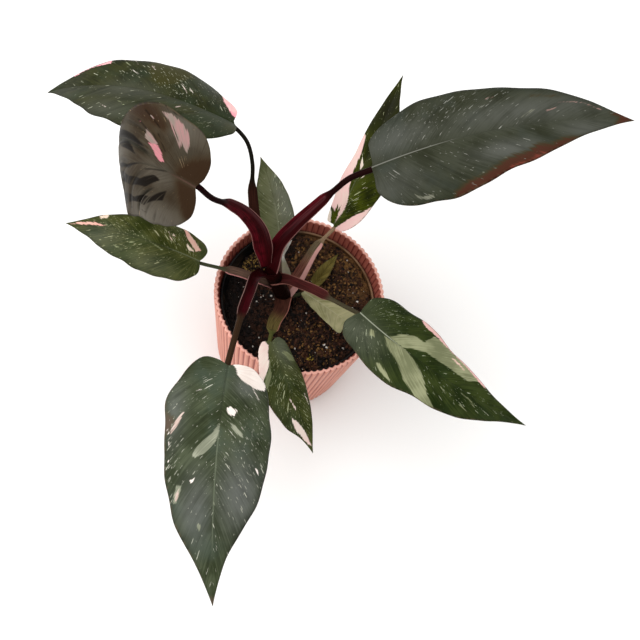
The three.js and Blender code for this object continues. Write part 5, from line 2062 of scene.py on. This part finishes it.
BARK = CrumbFinish("bark", dark=(0.004, 0.0015, 0.001), pale=(0.06, 0.022, 0.01), roughness=0.85, scale=500)
TAWNY = CrumbFinish("tawny_compost", dark=(0.016, 0.006, 0.002), pale=(0.2, 0.1, 0.03),
                    roughness=0.85, scale=500)
COIR = CrumbFinish("coir", dark=(0.04, 0.02, 0.01), pale=(0.18, 0.1, 0.05), roughness=0.85, scale=500)
PERLITE = CrumbFinish("perlite", dark=(0.2, 0.16, 0.13), pale=(0.7, 0.66, 0.6),
                      roughness=0.8, scale=900, shadow_strength=0.2)
MOSS = CrumbFinish("moss", dark=(0.06, 0.032, 0.01), pale=(0.31, 0.19, 0.05),
                   roughness=0.9, scale=700, shadow_strength=0.0)
YELLOW_MOSS = CrumbFinish("yellow_moss", dark=(0.1, 0.07, 0.01), pale=(0.4, 0.27, 0.04),
                          roughness=0.9, scale=700)
SCATTERS = (
    Scatter(Bit.CHIP, count=1500, size=(1.2, 3.8), flatness=(0.4, 0.9), finish=BARK),
    Scatter(Bit.CHIP, count=900, size=(0.9, 3.2), flatness=(0.4, 0.9),
            finish=TAWNY, centre=(14, 40), spread=0.62),
    Scatter(Bit.CHIP, count=260, size=(1.0, 3.0), flatness=(0.4, 0.9),
            finish=TAWNY, centre=(22, -28), spread=0.42),
    Scatter(Bit.FIBRE, count=150, size=(3.0, 8.0), flatness=(1, 1), finish=COIR),
    Scatter(Bit.PERLITE, count=80, size=(0.6, 2.4), flatness=(0.7, 1.0), finish=PERLITE),
    Scatter(Bit.MOSS, count=460, size=(1.0, 2.8), flatness=(0.4, 0.8),
            finish=MOSS, centre=(-42, 25), spread=0.32),
    Scatter(Bit.MOSS, count=30, size=(0.8, 1.6), flatness=(0.4, 0.8),
            finish=YELLOW_MOSS, centre=(26, -36), spread=0.06),
)


def main() -> None:
    """Builds the stage, the pots, the soil, the stem and every leaf."""
    logging.basicConfig(level=logging.INFO, format="%(message)s")
    Stage().build()
    CupPot().build(CoralFinish())
    NurseryPot().build(MouldedFinish())
    SoilBed().build(SoilFinish(), SCATTERS)
    Stem().build(STEM_SKIN)
    Bract().build(PaperFinish(pale=(0.56, 0.55, 0.5), dry=(0.24, 0.19, 0.15), base=(0.3, 0.28, 0.18)))
    for name, form in FORMS.items():
        stalk, slots = STALKS[name]
        markings = (SECTORS.get(name, {}), HAZES.get(name, ()), FLECKED.get(name, ()))
        Leaf(name, form, FINISHES[name], stalk, slots, *markings).build()


if __name__ == "__main__":
    main()
